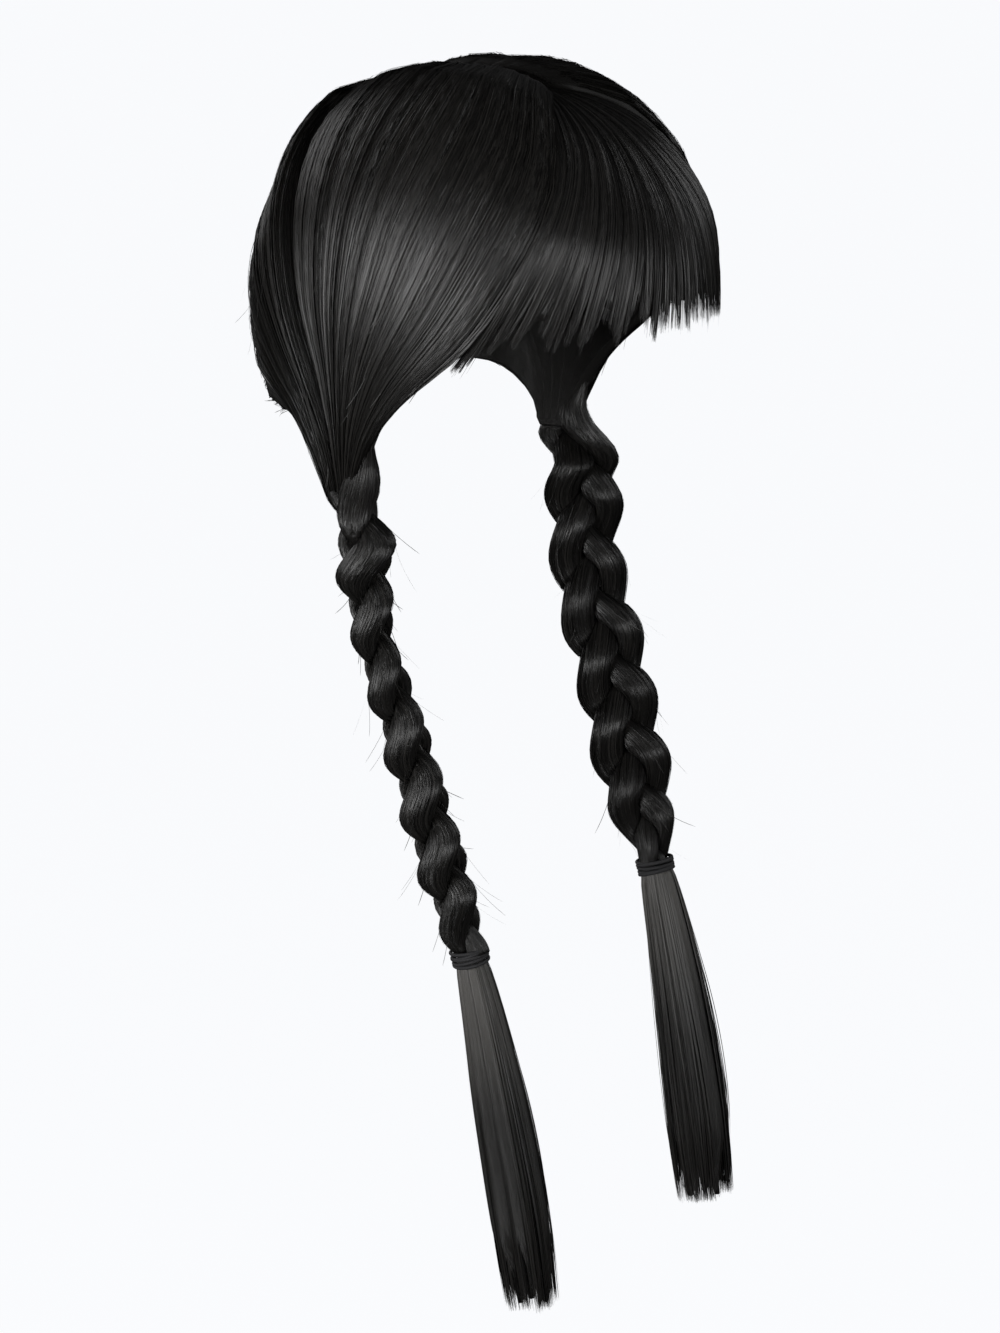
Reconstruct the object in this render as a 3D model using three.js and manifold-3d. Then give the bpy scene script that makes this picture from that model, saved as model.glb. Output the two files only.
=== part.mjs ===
// A black wig with a blunt fringe and two plaits.
// Millimetres, +Z up. The wearer looks along -Y, and the wearer's left is +X.
// The origin is the inside of the cap's crown, where the top of the head meets it.
import * as THREE from "three";
import { mergeVertices } from "three/addons/utils/BufferGeometryUtils.js";
import Module from "manifold-3d";

const wasm = await Module();
wasm.setup();

// Head that the cap is made for: reaches from the middle of the head at its widest level
const headHalfWidth = 76;
const headFrontReach = 106;
const headBackReach = 87;
const headTop = 95;
const headBelowFace = 195;
const headBelowNape = 128;
const headSquareness = 2.08;

// Cap and the scalp patch in the parting
const capWall = 1.5;
const gap = 0.35;
const hairGap = 0.8;
const partingWidth = 5;
const partingLength = 32;
const partingThickness = 0.8;

// Hair on the cap
const hairThickness = 11;
const rootThickness = 3;
const crownLift = 2.5;
const tipThickness = 1.2;
const gatherThickness = 12;
const gatherDrop = 5;
const fluteDepth = 0.9;
const fringeThickness = 7;

// Plaits: heights are below the crown, "out" is from the middle plane, "ahead" is towards the face
const rootDrop = 167.8;
const tieDrop = 362;
const tipDrop = 521;
const rootOut = 83;
const tieOut = 73;
const tipOut = 70.5;
const tieAhead = 48.3;
const tipAhead = 82;
const plaitWidth = 36;
const plaitDepth = 19;
const plaitTurn = 35;
const rootSetback = 7;
const setbackLength = 14;
const leadIn = 16;
const leadAhead = 5;
const leadThinness = 0.35;
const strandGap = 1.7;
const strandSwing = { width: 0.5, depth: 0.5 };
const strandSpread = { width: 0.52, outer: 1, inner: 0.66, middle: 0.56 };

// Ties and tails
const tieWidth = 14.5;
const tieDepth = 13.5;
const tieHeight = 7;
const tieBand = 2;
const tieWindings = 3;
const tieGroove = 0.62;
const tailWidth = 27;
const tailDepth = 26;
const lockSize = 0.42;
const lockTip = { from: 0.86, size: 0.25 };

// Rim of the cap: how far down it comes, in degrees from the crown, at each turn from the brow
const CAP_RIM = [
  { turn: 0, drop: 70 },
  { turn: 35, drop: 72 },
  { turn: 60, drop: 82 },
  { turn: 78, drop: 102 },
  { turn: 92, drop: 99 },
  { turn: 105, drop: 103 },
  { turn: 130, drop: 110 },
  { turn: 180, drop: 114 },
];

// Lines along which the hair parts, from its root to the plait: degrees round from the brow and down
// from the crown. The hair between two neighbouring lines is one section.
const PART_LINES = {
  temple: [
    { turn: 6, drop: 17 },
    { turn: 28, drop: 36 },
    { turn: 37, drop: 57 },
    { turn: 49, drop: 76 },
    { turn: 59, drop: 90 },
    { turn: 69, drop: 100 },
    { turn: 79, drop: 109 },
    { turn: 88, drop: 119 },
    { turn: 95, drop: 130.5 },
  ],
  ear: [
    { turn: 90, drop: 2 },
    { turn: 78, drop: 24 },
    { turn: 83, drop: 42 },
    { turn: 88, drop: 60 },
    { turn: 91, drop: 78 },
    { turn: 94, drop: 95 },
    { turn: 96, drop: 112 },
    { turn: 97.5, drop: 130.5 },
  ],
  behind_ear: [
    { turn: 179, drop: 22 },
    { turn: 145, drop: 40 },
    { turn: 131, drop: 55 },
    { turn: 122, drop: 70 },
    { turn: 114, drop: 88 },
    { turn: 106, drop: 105 },
    { turn: 101, drop: 118 },
    { turn: 100, drop: 130.5 },
  ],
  lock: [
    { turn: 179, drop: 29 },
    { turn: 152, drop: 46 },
    { turn: 138, drop: 62 },
    { turn: 128, drop: 78 },
    { turn: 118, drop: 94 },
    { turn: 109, drop: 109 },
    { turn: 104, drop: 121 },
    { turn: 102.5, drop: 130.5 },
  ],
  nape: [
    { turn: 179.9, drop: 122 },
    { turn: 166, drop: 121.5 },
    { turn: 152, drop: 119.5 },
    { turn: 140, drop: 116.5 },
    { turn: 129, drop: 116 },
    { turn: 118, drop: 118.5 },
    { turn: 109, drop: 125 },
    { turn: 105.5, drop: 130.5 },
  ],
};

// Sections of one side: the two lines beside each, its locks, and its thickness at its first edge, in its
// middle and at its last edge, as shares of the hair's thickness
const SECTIONS = [
  { name: "side_front", from: "temple", to: "ear", locks: 5, first: 0.62, middle: 1.0, last: 0.95 },
  { name: "side_rear", from: "ear", to: "behind_ear", locks: 4, first: 0.95, middle: 0.95, last: 0.68 },
  { name: "wrap_lock", from: "behind_ear", to: "lock", locks: 2, first: 0.82, middle: 1.02, last: 0.82 },
  { name: "back_hair", from: "lock", to: "nape", locks: 6, first: 0.72, middle: 1.0, last: 0.35 },
];

// Locks of the fringe from the right temple to the left: the share of the width that each takes, how far
// its tip hangs below the cut and how far the notch after it reaches up, as shares of the fringe's drop
const FRINGE_LOCKS = [
  { width: 0.9, tip: 0.01, notch: 0.02 },
  { width: 0.8, tip: 0.02, notch: 0.01 },
  { width: 0.9, tip: 0.015, notch: 0.025 },
  { width: 0.8, tip: 0.03, notch: 0.015 },
  { width: 1.0, tip: 0.02, notch: 0.06 },
  { width: 0.9, tip: 0.035, notch: 0.08 },
  { width: 1.2, tip: 0.015, notch: 0.015 },
  { width: 1.1, tip: 0.015, notch: 0.02 },
  { width: 1.1, tip: 0.01, notch: 0.015 },
  { width: 1.2, tip: 0.015, notch: 0.025 },
  { width: 1.0, tip: 0.02, notch: 0.015 },
  { width: 1.1, tip: 0.015, notch: 0.03 },
  { width: 0.9, tip: 0.02, notch: 0.02 },
  { width: 0.9, tip: 0.025, notch: 0.01 },
  { width: 0.9, tip: 0.01, notch: 0.01 },
];
const fringeDrop = 84;
const fringeRows = 7;

// The two plaits: how far apart their lobes are along an edge, and how far round its crossing path the
// first strand has come at the root, in degrees
const PLAITS = {
  right: { lobePitch: 26.8, start: 111 },
  left: { lobePitch: 30.4, start: 61 },
};

// Route of a plait from its root to its tie, and of a tail from the tie to its tip, as shares
const PLAIT_ROUTE = [
  { down: 0, ahead: -0.02, out: 0 },
  { down: 0.2, ahead: 0, out: 0.14 },
  { down: 0.33, ahead: 0.09, out: 0.3 },
  { down: 0.5, ahead: 0.34, out: 0.52 },
  { down: 0.75, ahead: 0.66, out: 0.78 },
  { down: 1, ahead: 1, out: 1 },
];
const TAIL_ROUTE = [
  { down: 0.35, ahead: 0.42, out: 0.25 },
  { down: 0.7, ahead: 0.77, out: 0.6 },
  { down: 1, ahead: 1, out: 1 },
];

// Sections of a plait and of a tail along their length, as shares of their full width and depth
const PLAIT_SIZE = [
  { along: 0, width: 0.86, depth: 1.0 },
  { along: 0.08, width: 1.0, depth: 1.13 },
  { along: 0.3, width: 0.97, depth: 0.84 },
  { along: 0.5, width: 1.0, depth: 0.95 },
  { along: 0.84, width: 0.94, depth: 0.95 },
  { along: 0.93, width: 0.66, depth: 0.76 },
  { along: 1, width: 0.24, depth: 0.38 },
];
const TAIL_SIZE = [
  { along: 0, width: 0.46, depth: 0.44 },
  { along: 0.05, width: 0.56, depth: 0.52 },
  { along: 0.2, width: 0.72, depth: 0.7 },
  { along: 0.45, width: 0.94, depth: 0.94 },
  { along: 0.75, width: 1.03, depth: 1.02 },
  { along: 1, width: 0.92, depth: 0.92 },
];

// Locks of a tail: where each lies round the middle, and its length as a share of the tail's
const TAIL_LOCKS = [
  { round: 0, off: 0, length: 0.985 },
  { round: 10, off: 1, length: 0.96 },
  { round: 62, off: 1, length: 0.99 },
  { round: 113, off: 1, length: 0.95 },
  { round: 165, off: 1, length: 0.975 },
  { round: 216, off: 1, length: 1.0 },
  { round: 268, off: 1, length: 0.955 },
  { round: 319, off: 1, length: 0.98 },
];

// Fineness of the forms
const sheetRows = 12;
const capColumns = 24;
const capRows = 6;
const strandSides = 7;
const strandStep = 5.2;
const tieSides = 12;
const lockSides = 5;
const lockRings = 5;

const hairMaterial = new THREE.MeshStandardMaterial({ color: 0x0d0d0f, roughness: 0.42, metalness: 0 });
const capMaterial = new THREE.MeshStandardMaterial({ color: 0x101012, roughness: 0.9, metalness: 0 });
const scalpMaterial = new THREE.MeshStandardMaterial({ color: 0x4b4a4e, roughness: 0.6, metalness: 0 });
const tieMaterial = new THREE.MeshStandardMaterial({ color: 0x141415, roughness: 0.85, metalness: 0 });

const radians = THREE.MathUtils.degToRad;
const mix = THREE.MathUtils.lerp;

// Smooth value of a table's column where its key column reaches x
function read(table, key, column, x) {
  const last = table.length - 1;
  let i = 0;
  while (i < last - 1 && x > table[i + 1][key]) i += 1;
  const [a, b] = [table[i], table[i + 1]];
  const t = THREE.MathUtils.clamp((x - a[key]) / (b[key] - a[key]), 0, 1);
  const slope = (m, n) => (table[n][column] - table[m][column]) / (table[n][key] - table[m][key]);
  const before = slope(Math.max(i - 1, 0), Math.min(i + 1, last));
  const after = slope(i, Math.min(i + 2, last));
  const span = b[key] - a[key];
  const [t2, t3] = [t * t, t * t * t];
  return (
    (2 * t3 - 3 * t2 + 1) * a[column] +
    (t3 - 2 * t2 + t) * span * before +
    (3 * t2 - 2 * t3) * b[column] +
    (t3 - t2) * span * after
  );
}

// Point on the head's form, raised by a lift: turn is degrees round from the brow, drop is degrees down
// from the crown. The first coordinate is "out", away from the middle plane.
function onHead(turn, drop, lift) {
  const [t, d] = [radians(turn), radians(drop)];
  const way = new THREE.Vector3(Math.sin(t) * Math.sin(d), -Math.cos(t) * Math.sin(d), Math.cos(d));
  const below = mix(headBelowNape, headBelowFace, 0.5 + 0.5 * Math.cos(t));
  const reach = [
    headHalfWidth + lift,
    (way.y < 0 ? headFrontReach : headBackReach) + lift,
    (way.z > 0 ? headTop : below) + lift,
  ];
  const sum = way.toArray().reduce((s, w, i) => s + Math.abs(w / reach[i]) ** headSquareness, 0);
  return way.multiplyScalar(sum ** (-1 / headSquareness)).add(new THREE.Vector3(0, 0, -headTop));
}

// The flat chart that the hair's lines are drawn in: degrees from the crown, out and back
function toChart({ turn, drop }) {
  return new THREE.Vector2(drop * Math.sin(radians(turn)), -drop * Math.cos(radians(turn)));
}

const fromChart = (p) => ({ turn: THREE.MathUtils.radToDeg(Math.atan2(p.x, -p.y)), drop: p.length() });

// Each part line as points in the chart, one for each row of a sheet
const lines = Object.fromEntries(
  Object.entries(PART_LINES).map(([name, rows]) => {
    const spline = new THREE.SplineCurve(rows.map(toChart));
    return [name, spline.getSpacedPoints(sheetRows)];
  }),
);

// A closed solid from a grid of outer points and a grid of inner points, with rims round all four edges
function shellOf(outer, inner, mirrored) {
  const [rows, columns] = [outer.length, outer[0].length];
  const points = [...outer.flat(), ...inner.flat()];
  const at = (layer, i, j) => layer * rows * columns + i * columns + j;
  const faces = [];
  const quad = (a, b, c, d) => faces.push(a, b, c, a, c, d);
  for (let i = 0; i < rows - 1; i += 1)
    for (let j = 0; j < columns - 1; j += 1) {
      quad(at(0, i, j), at(0, i + 1, j), at(0, i + 1, j + 1), at(0, i, j + 1));
      quad(at(1, i, j), at(1, i, j + 1), at(1, i + 1, j + 1), at(1, i + 1, j));
    }
  for (let j = 0; j < columns - 1; j += 1) {
    quad(at(0, 0, j), at(0, 0, j + 1), at(1, 0, j + 1), at(1, 0, j));
    quad(at(0, rows - 1, j), at(1, rows - 1, j), at(1, rows - 1, j + 1), at(0, rows - 1, j + 1));
  }
  for (let i = 0; i < rows - 1; i += 1) {
    quad(at(0, i, 0), at(1, i, 0), at(1, i + 1, 0), at(0, i + 1, 0));
    quad(at(0, i, columns - 1), at(0, i + 1, columns - 1), at(1, i + 1, columns - 1), at(1, i, columns - 1));
  }
  return geometryOf(points, faces, mirrored);
}

// A closed solid through rings of points, with a flat end at each side
function tubeOf(rings, mirrored) {
  const sides = rings[0].length;
  const points = rings.flat();
  const ends = [rings[0], rings[rings.length - 1]];
  ends.forEach((ring) => {
    const middle = ring.reduce((s, p) => s.add(p), new THREE.Vector3()).divideScalar(sides);
    points.push(middle);
  });
  const [first, last] = [points.length - 2, points.length - 1];
  const tail = (rings.length - 1) * sides;
  const faces = [];
  for (let j = 0; j < sides; j += 1) {
    const k = (j + 1) % sides;
    for (let i = 0; i < tail; i += sides) {
      faces.push(i + j, i + k, i + sides + k);
      faces.push(i + j, i + sides + k, i + sides + j);
    }
    faces.push(first, k, j, last, tail + j, tail + k);
  }
  return geometryOf(points, faces, mirrored);
}

// Geometry from points whose first coordinate is "out": the wearer's right side is its mirror image
function geometryOf(points, faces, mirrored) {
  const sign = mirrored ? -1 : 1;
  const position = new Float32Array(points.flatMap((p) => [sign * p.x, p.y, p.z]));
  const index = mirrored ? faces.map((f, i) => faces[i - (i % 3) + [0, 2, 1][i % 3]]) : faces;
  const geometry = new THREE.BufferGeometry();
  geometry.setAttribute("position", new THREE.BufferAttribute(position, 3));
  geometry.setIndex(index);
  geometry.computeVertexNormals();
  return geometry;
}

// A closed geometry as a solid that can be joined and cut
function solidOf(geometry) {
  const bare = new THREE.BufferGeometry();
  bare.setAttribute("position", geometry.getAttribute("position"));
  bare.setIndex(geometry.index);
  const merged = mergeVertices(bare, 1e-4);
  return new wasm.Manifold(
    new wasm.Mesh({
      numProp: 3,
      vertProperties: merged.getAttribute("position").array,
      triVerts: new Uint32Array(merged.index.array),
    }),
  );
}

// Geometry of a solid's largest body, without the crumbs of a cut
function geometryOfSolid(solid) {
  const bodies = solid.decompose().sort((a, b) => b.volume() - a.volume());
  const whole = bodies[0].getMesh();
  const geometry = new THREE.BufferGeometry();
  geometry.setAttribute("position", new THREE.BufferAttribute(new Float32Array(whole.vertProperties), 3));
  geometry.setIndex(new THREE.BufferAttribute(new Uint32Array(whole.triVerts), 1));
  geometry.computeVertexNormals();
  return geometry;
}

// The cap: a bowl over the head's form, down to its rim
function capGeometry() {
  const rimAt = (turn) => read(CAP_RIM, "turn", "drop", Math.abs(turn));
  const points = [onHead(0, 0, capWall), onHead(0, 0, 0)];
  const faces = [];
  const at = (layer, i, j) => 2 + (layer * capRows + i - 1) * capColumns + (j % capColumns);
  [capWall, 0].forEach((lift) => {
    for (let i = 1; i <= capRows; i += 1)
      for (let j = 0; j < capColumns; j += 1) {
        const turn = -180 + (360 * j) / capColumns;
        points.push(onHead(turn, (rimAt(turn) * i) / capRows, lift));
      }
  });
  for (let j = 0; j < capColumns; j += 1) {
    faces.push(0, at(0, 1, j), at(0, 1, j + 1), 1, at(1, 1, j + 1), at(1, 1, j));
    for (let i = 1; i < capRows; i += 1) {
      const [a, b, c, d] = [at(0, i, j), at(0, i + 1, j), at(0, i + 1, j + 1), at(0, i, j + 1)];
      faces.push(a, b, c, a, c, d);
      const [e, f, g, h] = [at(1, i, j), at(1, i + 1, j), at(1, i + 1, j + 1), at(1, i, j + 1)];
      faces.push(e, g, f, e, h, g);
    }
    const [a, b, c, d] = [at(0, capRows, j), at(1, capRows, j), at(1, capRows, j + 1), at(0, capRows, j + 1)];
    faces.push(a, b, c, a, c, d);
  }
  return geometryOf(points, faces, false);
}

// Lift of the cap's outside, where the hair's underside starts
const underside = capWall + hairGap;

// Degrees at the crown that a length along the head takes
const crownDegrees = (length) => THREE.MathUtils.radToDeg(length / headTop);

// The scalp patch: a thin strip on the cap, in the groove between the two sides' hair
function partingGeometry() {
  const half = crownDegrees(partingWidth / 2 - gap);
  const front = PART_LINES.temple[0].drop - crownDegrees(2 * gap);
  const back = front - crownDegrees(partingLength);
  const steps = [0, 1, 2, 3, 4, 5, 6];
  const row = (lift) => (i) => {
    const along = mix(back, front, i / (steps.length - 1));
    return [-half, 0, half].map((out) => {
      const { turn, drop } = fromChart(new THREE.Vector2(out, -along));
      return onHead(turn, drop, lift);
    });
  };
  return shellOf(steps.map(row(underside + partingThickness)), steps.map(row(underside)), false);
}

// How near the middle plane a section comes: the two sides leave room for the scalp patch, and close
// behind it
function nearest(p) {
  const patchEnd = crownDegrees(partingLength + partingWidth) - PART_LINES.temple[0].drop;
  return crownDegrees(p.y < patchEnd ? partingWidth / 2 : gap / 2);
}

// Rise of a sheet's surface over its locks: 1 on a lock's back, 0 in the groove between two
const flute = (u, locks) => Math.abs(Math.sin(Math.PI * u * locks));

// Thickness of a section: thin at the roots, full on the head, gathered at the end
function sectionThickness(section, u, v) {
  const edge = u < 0.5 ? section.first : section.last;
  const across = mix(edge, section.middle, Math.sin(Math.PI * u) ** 0.8);
  const full = mix(hairThickness * across, gatherThickness, THREE.MathUtils.smoothstep(v, 0.72, 1));
  const crown = crownLift * (1 - THREE.MathUtils.smoothstep(v, 0.25, 0.6));
  return mix(rootThickness, full + crown, THREE.MathUtils.smoothstep(v, -0.05, 0.14));
}

// One section of hair on one side, between two part lines
function sectionGeometry(section, mirrored) {
  const [from, to] = [lines[section.from], lines[section.to]];
  const columns = section.locks * 2;
  const grid = (liftAt, lower) =>
    from.map((start, i) => {
      const end = to[i];
      const inset = crownDegrees(gap) / 2 / start.distanceTo(end);
      return Array.from({ length: columns + 1 }, (_, j) => {
        const u = j / columns;
        const p = start.clone().lerp(end, mix(inset, 1 - inset, u));
        p.x = i === 0 ? nearest(p) : Math.max(p.x, nearest(p));
        const { turn, drop } = fromChart(p);
        const extra = lower * THREE.MathUtils.smoothstep(i / sheetRows, 0.8, 1);
        return onHead(turn, drop + extra, liftAt(u, i / sheetRows));
      });
    });
  const outside = (u, v) => {
    const rise = fluteDepth * flute(u, section.locks) * Math.sin(Math.PI * Math.min(v + 0.1, 0.9));
    return underside + sectionThickness(section, u, v) + rise;
  };
  return shellOf(grid(outside, 0), grid(() => underside, gatherDrop), mirrored);
}

// The fringe: from the front of the parting over the forehead, between the two temple lines
function fringeGeometry() {
  const edge = lines.temple.slice(0, fringeRows + 1).map(fromChart);
  const total = FRINGE_LOCKS.reduce((sum, lock) => sum + lock.width, 0);
  const columns = [{ u: -1, reach: 0, ridge: 0 }];
  let done = 0;
  FRINGE_LOCKS.forEach((lock) => {
    columns.push({ u: (2 * (done + lock.width / 2)) / total - 1, reach: lock.tip, ridge: 1 });
    done += lock.width;
    columns.push({ u: (2 * done) / total - 1, reach: -lock.notch, ridge: 0 });
  });
  columns[columns.length - 1].reach = 0;
  const roots = edge[0].drop;
  const grid = (outer) =>
    edge.map((line, i) => {
      const v = i / fringeRows;
      const inset = 1 - crownDegrees(gap) / line.drop / Math.sin(radians(line.turn));
      return columns.map(({ u, reach, ridge }) => {
        const middle = mix(roots, fringeDrop, v);
        const cut = middle + (line.drop - middle) * Math.abs(u) ** 4;
        const drop = cut + fringeDrop * reach * v ** 6;
        const body = mix(rootThickness, fringeThickness, THREE.MathUtils.smoothstep(v, -0.05, 0.4));
        const thick = mix(body, tipThickness, THREE.MathUtils.smoothstep(v, 0.62, 1));
        const rise = fluteDepth * ridge * Math.sin(Math.PI * v);
        return onHead(u * line.turn * inset, drop, underside + outer * (thick + rise));
      });
    });
  return shellOf(grid(1), grid(0), false);
}

// A point of the route, between two places
function fall(row, from, to) {
  const out = mix(from.out, to.out, row.out);
  const ahead = mix(from.ahead, to.ahead, row.ahead);
  return new THREE.Vector3(out, -ahead, -mix(from.drop, to.drop, row.down));
}

// Centre line of one plait and its tail
const rootPlace = { drop: rootDrop, out: rootOut, ahead: 0 };
const tiePlace = { drop: tieDrop, out: tieOut, ahead: tieAhead };
const tipPlace = { drop: tipDrop, out: tipOut, ahead: tipAhead };
const route = new THREE.CatmullRomCurve3([
  ...PLAIT_ROUTE.map((row) => fall(row, rootPlace, tiePlace)),
  ...TAIL_ROUTE.map((row) => fall(row, tiePlace, tipPlace)),
]);
route.arcLengthDivisions = 400;
const routeLength = route.getLength();

// Share of the route at which it passes a height
function shareAtDrop(drop) {
  let [low, high] = [0, 1];
  for (let i = 0; i < 40; i += 1) {
    const share = (low + high) / 2;
    if (-route.getPointAt(share).z < drop) low = share;
    else high = share;
  }
  return low;
}
const tieAlong = shareAtDrop(tieDrop) * routeLength;
const tailLength = routeLength - tieAlong;

// Frame at a distance along the route: a place in it is a width across the plait and a depth through it
function frameAt(along) {
  const share = THREE.MathUtils.clamp(along / routeLength, 0, 1);
  const ahead = route.getTangentAt(share);
  const middle = route.getPointAt(share).addScaledVector(ahead, along - share * routeLength);
  const level = new THREE.Vector3(Math.cos(radians(plaitTurn)), -Math.sin(radians(plaitTurn)), 0);
  const across = level.addScaledVector(ahead, -level.dot(ahead)).normalize();
  const through = new THREE.Vector3().crossVectors(ahead, across);
  return (width, depth) => middle.clone().addScaledVector(across, width).addScaledVector(through, depth);
}

// The three strands in a plait's section: each swings from edge to edge half as often as it swings
// through, and spreads where it goes round an edge
function strandPlaces(along, { lobePitch, start }) {
  const share = THREE.MathUtils.clamp(along / tieAlong, 0, 1);
  const halfWidth = (plaitWidth / 2) * read(PLAIT_SIZE, "along", "width", share);
  const halfDepth = (plaitDepth / 2) * read(PLAIT_SIZE, "along", "depth", share);
  const fromRoot = THREE.MathUtils.smoothstep(along, 0, setbackLength);
  const [turnedWidth, turnedDepth] = [Math.sin(radians(plaitTurn)), Math.cos(radians(plaitTurn))];
  return [0, -120, 120].map((behind) => {
    const phase = radians(start + behind + (120 * along) / lobePitch);
    const atEdge = Math.sin(phase) > 0 ? strandSpread.outer : strandSpread.inner;
    const back = behind === 0 ? 0 : rootSetback * (1 - fromRoot);
    const ahead = behind === 0 ? leadAhead * Math.max(-along / leadIn, 0) : 0;
    return {
      width: strandSwing.width * halfWidth * Math.sin(phase) - back * turnedWidth,
      depth: strandSwing.depth * halfDepth * Math.sin(2 * phase) - back * turnedDepth + ahead,
      reachWidth: strandSpread.width * halfWidth,
      reachDepth: halfDepth * mix(strandSpread.middle, atEdge, Math.sin(phase) ** 2),
    };
  });
}

// Section of one strand: an oval round its place, flattened where its neighbours press on it
function strandRing(along, plait, which, grow) {
  const strands = strandPlaces(along, plait);
  const own = strands[which];
  const others = strands.filter((_, i) => i !== which);
  const frame = frameAt(along);
  const thin = along < 0 ? mix(leadThinness, 1, 1 + along / leadIn) : 1;
  return Array.from({ length: strandSides }, (_, j) => {
    const angle = (2 * Math.PI * j) / strandSides;
    const [width, depth] = [own.reachWidth * Math.cos(angle), own.reachDepth * Math.sin(angle)];
    const pressed = others.map((other) => {
      const [apartWidth, apartDepth] = [other.width - own.width, other.depth - own.depth];
      const apart = Math.hypot(apartWidth, apartDepth);
      const facing = (width * apartWidth + depth * apartDepth) / apart;
      return facing > 0 ? (apart / 2 - strandGap / 2) / facing : Infinity;
    });
    const kept = Math.min(1, ...pressed) * thin + grow / Math.hypot(width, depth);
    return frame(own.width + width * kept, own.depth + depth * kept);
  });
}

// One strand of a plait: the first starts under the hair ahead of the others, and all end inside the tie
function strandTube(which, plait, mirrored, grow) {
  const before = which === 0 ? Math.round(leadIn / strandStep) : 0;
  const end = tieAlong - gap / 2;
  const steps = Math.round(end / strandStep);
  const rings = Array.from({ length: before + steps + 1 }, (_, i) => {
    return strandRing(((i - before) * end) / steps, plait, which, grow);
  });
  return tubeOf(rings, mirrored);
}

// A strand cut clear of those before it
function strandGeometry(which, plait, mirrored) {
  const own = solidOf(strandTube(which, plait, mirrored, 0));
  const earlier = [0, 1]
    .slice(0, which)
    .map((other) => solidOf(strandTube(other, plait, mirrored, gap)));
  return geometryOfSolid(earlier.reduce((kept, other) => kept.subtract(other), own));
}

// The wound tie: a band with a ridge for each winding, round the plait's end
function tieGeometry(mirrored) {
  const rows = tieWindings * 2;
  const loop = (along, grow) => {
    const frame = frameAt(along);
    return Array.from({ length: tieSides + 1 }, (_, j) => {
      const angle = (2 * Math.PI * (j % tieSides)) / tieSides;
      return frame((tieWidth / 2 + grow) * Math.cos(angle), (tieDepth / 2 + grow) * Math.sin(angle));
    });
  };
  const heights = Array.from({ length: rows + 1 }, (_, i) => tieAlong + tieHeight * (i / rows - 0.5));
  const outside = heights.map((along, i) => loop(along, i % 2 ? tieBand : tieBand * tieGroove));
  const inside = heights.map((along) => loop(along, 0));
  return ringShell(outside, inside, mirrored);
}

// A closed band from outer and inner loops that end where they start
function ringShell(outer, inner, mirrored) {
  const rows = outer.length;
  const sides = outer[0].length - 1;
  const points = [...outer, ...inner].flatMap((loop) => loop.slice(0, sides));
  const at = (layer, i, j) => (layer * rows + i) * sides + (j % sides);
  const faces = [];
  const quad = (a, b, c, d) => faces.push(a, b, c, a, c, d);
  for (let j = 0; j < sides; j += 1) {
    for (let i = 0; i < rows - 1; i += 1) {
      quad(at(0, i, j), at(0, i, j + 1), at(0, i + 1, j + 1), at(0, i + 1, j));
      quad(at(1, i, j), at(1, i + 1, j), at(1, i + 1, j + 1), at(1, i, j + 1));
    }
    quad(at(0, 0, j), at(1, 0, j), at(1, 0, j + 1), at(0, 0, j + 1));
    quad(at(0, rows - 1, j), at(0, rows - 1, j + 1), at(1, rows - 1, j + 1), at(1, rows - 1, j));
  }
  return geometryOf(points, faces, mirrored);
}

// One lock of a tail: a tapering tube that keeps its place in the tail's section
function tailLock({ round, off, length }, mirrored) {
  const rings = Array.from({ length: lockRings + 1 }, (_, i) => {
    const share = (i / lockRings) ** 0.8;
    const along = share * length;
    const halfWidth = (tailWidth / 2) * read(TAIL_SIZE, "along", "width", along);
    const halfDepth = (tailDepth / 2) * read(TAIL_SIZE, "along", "depth", along);
    const taper = lockSize * mix(1, lockTip.size, THREE.MathUtils.smoothstep(share, lockTip.from, 1));
    const frame = frameAt(tieAlong + gap / 2 + along * (tailLength - gap));
    const aside = off * (1 - lockSize);
    const middleWidth = aside * halfWidth * Math.cos(radians(round));
    const middleDepth = aside * halfDepth * Math.sin(radians(round));
    return Array.from({ length: lockSides }, (_, j) => {
      const angle = (2 * Math.PI * j) / lockSides + radians(round);
      return frame(
        middleWidth + halfWidth * taper * Math.cos(angle),
        middleDepth + halfDepth * taper * Math.sin(angle),
      );
    });
  });
  return tubeOf(rings, mirrored);
}

function tailGeometry(mirrored) {
  const locks = TAIL_LOCKS.map((lock) => solidOf(tailLock(lock, mirrored)));
  return geometryOfSolid(locks.reduce((sum, lock) => sum.add(lock)));
}

function named(name, geometry, material) {
  const mesh = new THREE.Mesh(geometry, material);
  mesh.name = name;
  return mesh;
}

// Everything that hangs on one side of the head
function sideGroup(label, mirrored) {
  const side = new THREE.Group();
  SECTIONS.forEach((section) => {
    side.add(named(`${section.name}_${label}`, sectionGeometry(section, mirrored), hairMaterial));
  });
  ["a", "b", "c"].forEach((letter, which) => {
    side.add(named(`braid_${label}_${letter}`, strandGeometry(which, PLAITS[label], mirrored), hairMaterial));
  });
  side.add(named(`tie_${label}`, tieGeometry(mirrored), tieMaterial));
  side.add(named(`tail_${label}`, tailGeometry(mirrored), hairMaterial));
  return side;
}

const wig = new THREE.Group();
wig.add(named("cap", capGeometry(), capMaterial));
wig.add(named("parting", partingGeometry(), scalpMaterial));
wig.add(named("fringe", fringeGeometry(), hairMaterial));
wig.add(sideGroup("right", true));
wig.add(sideGroup("left", false));

export default wig;
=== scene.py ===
import math
from collections import namedtuple

import bpy
import numpy as np
from mathutils import Matrix, Vector


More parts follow.
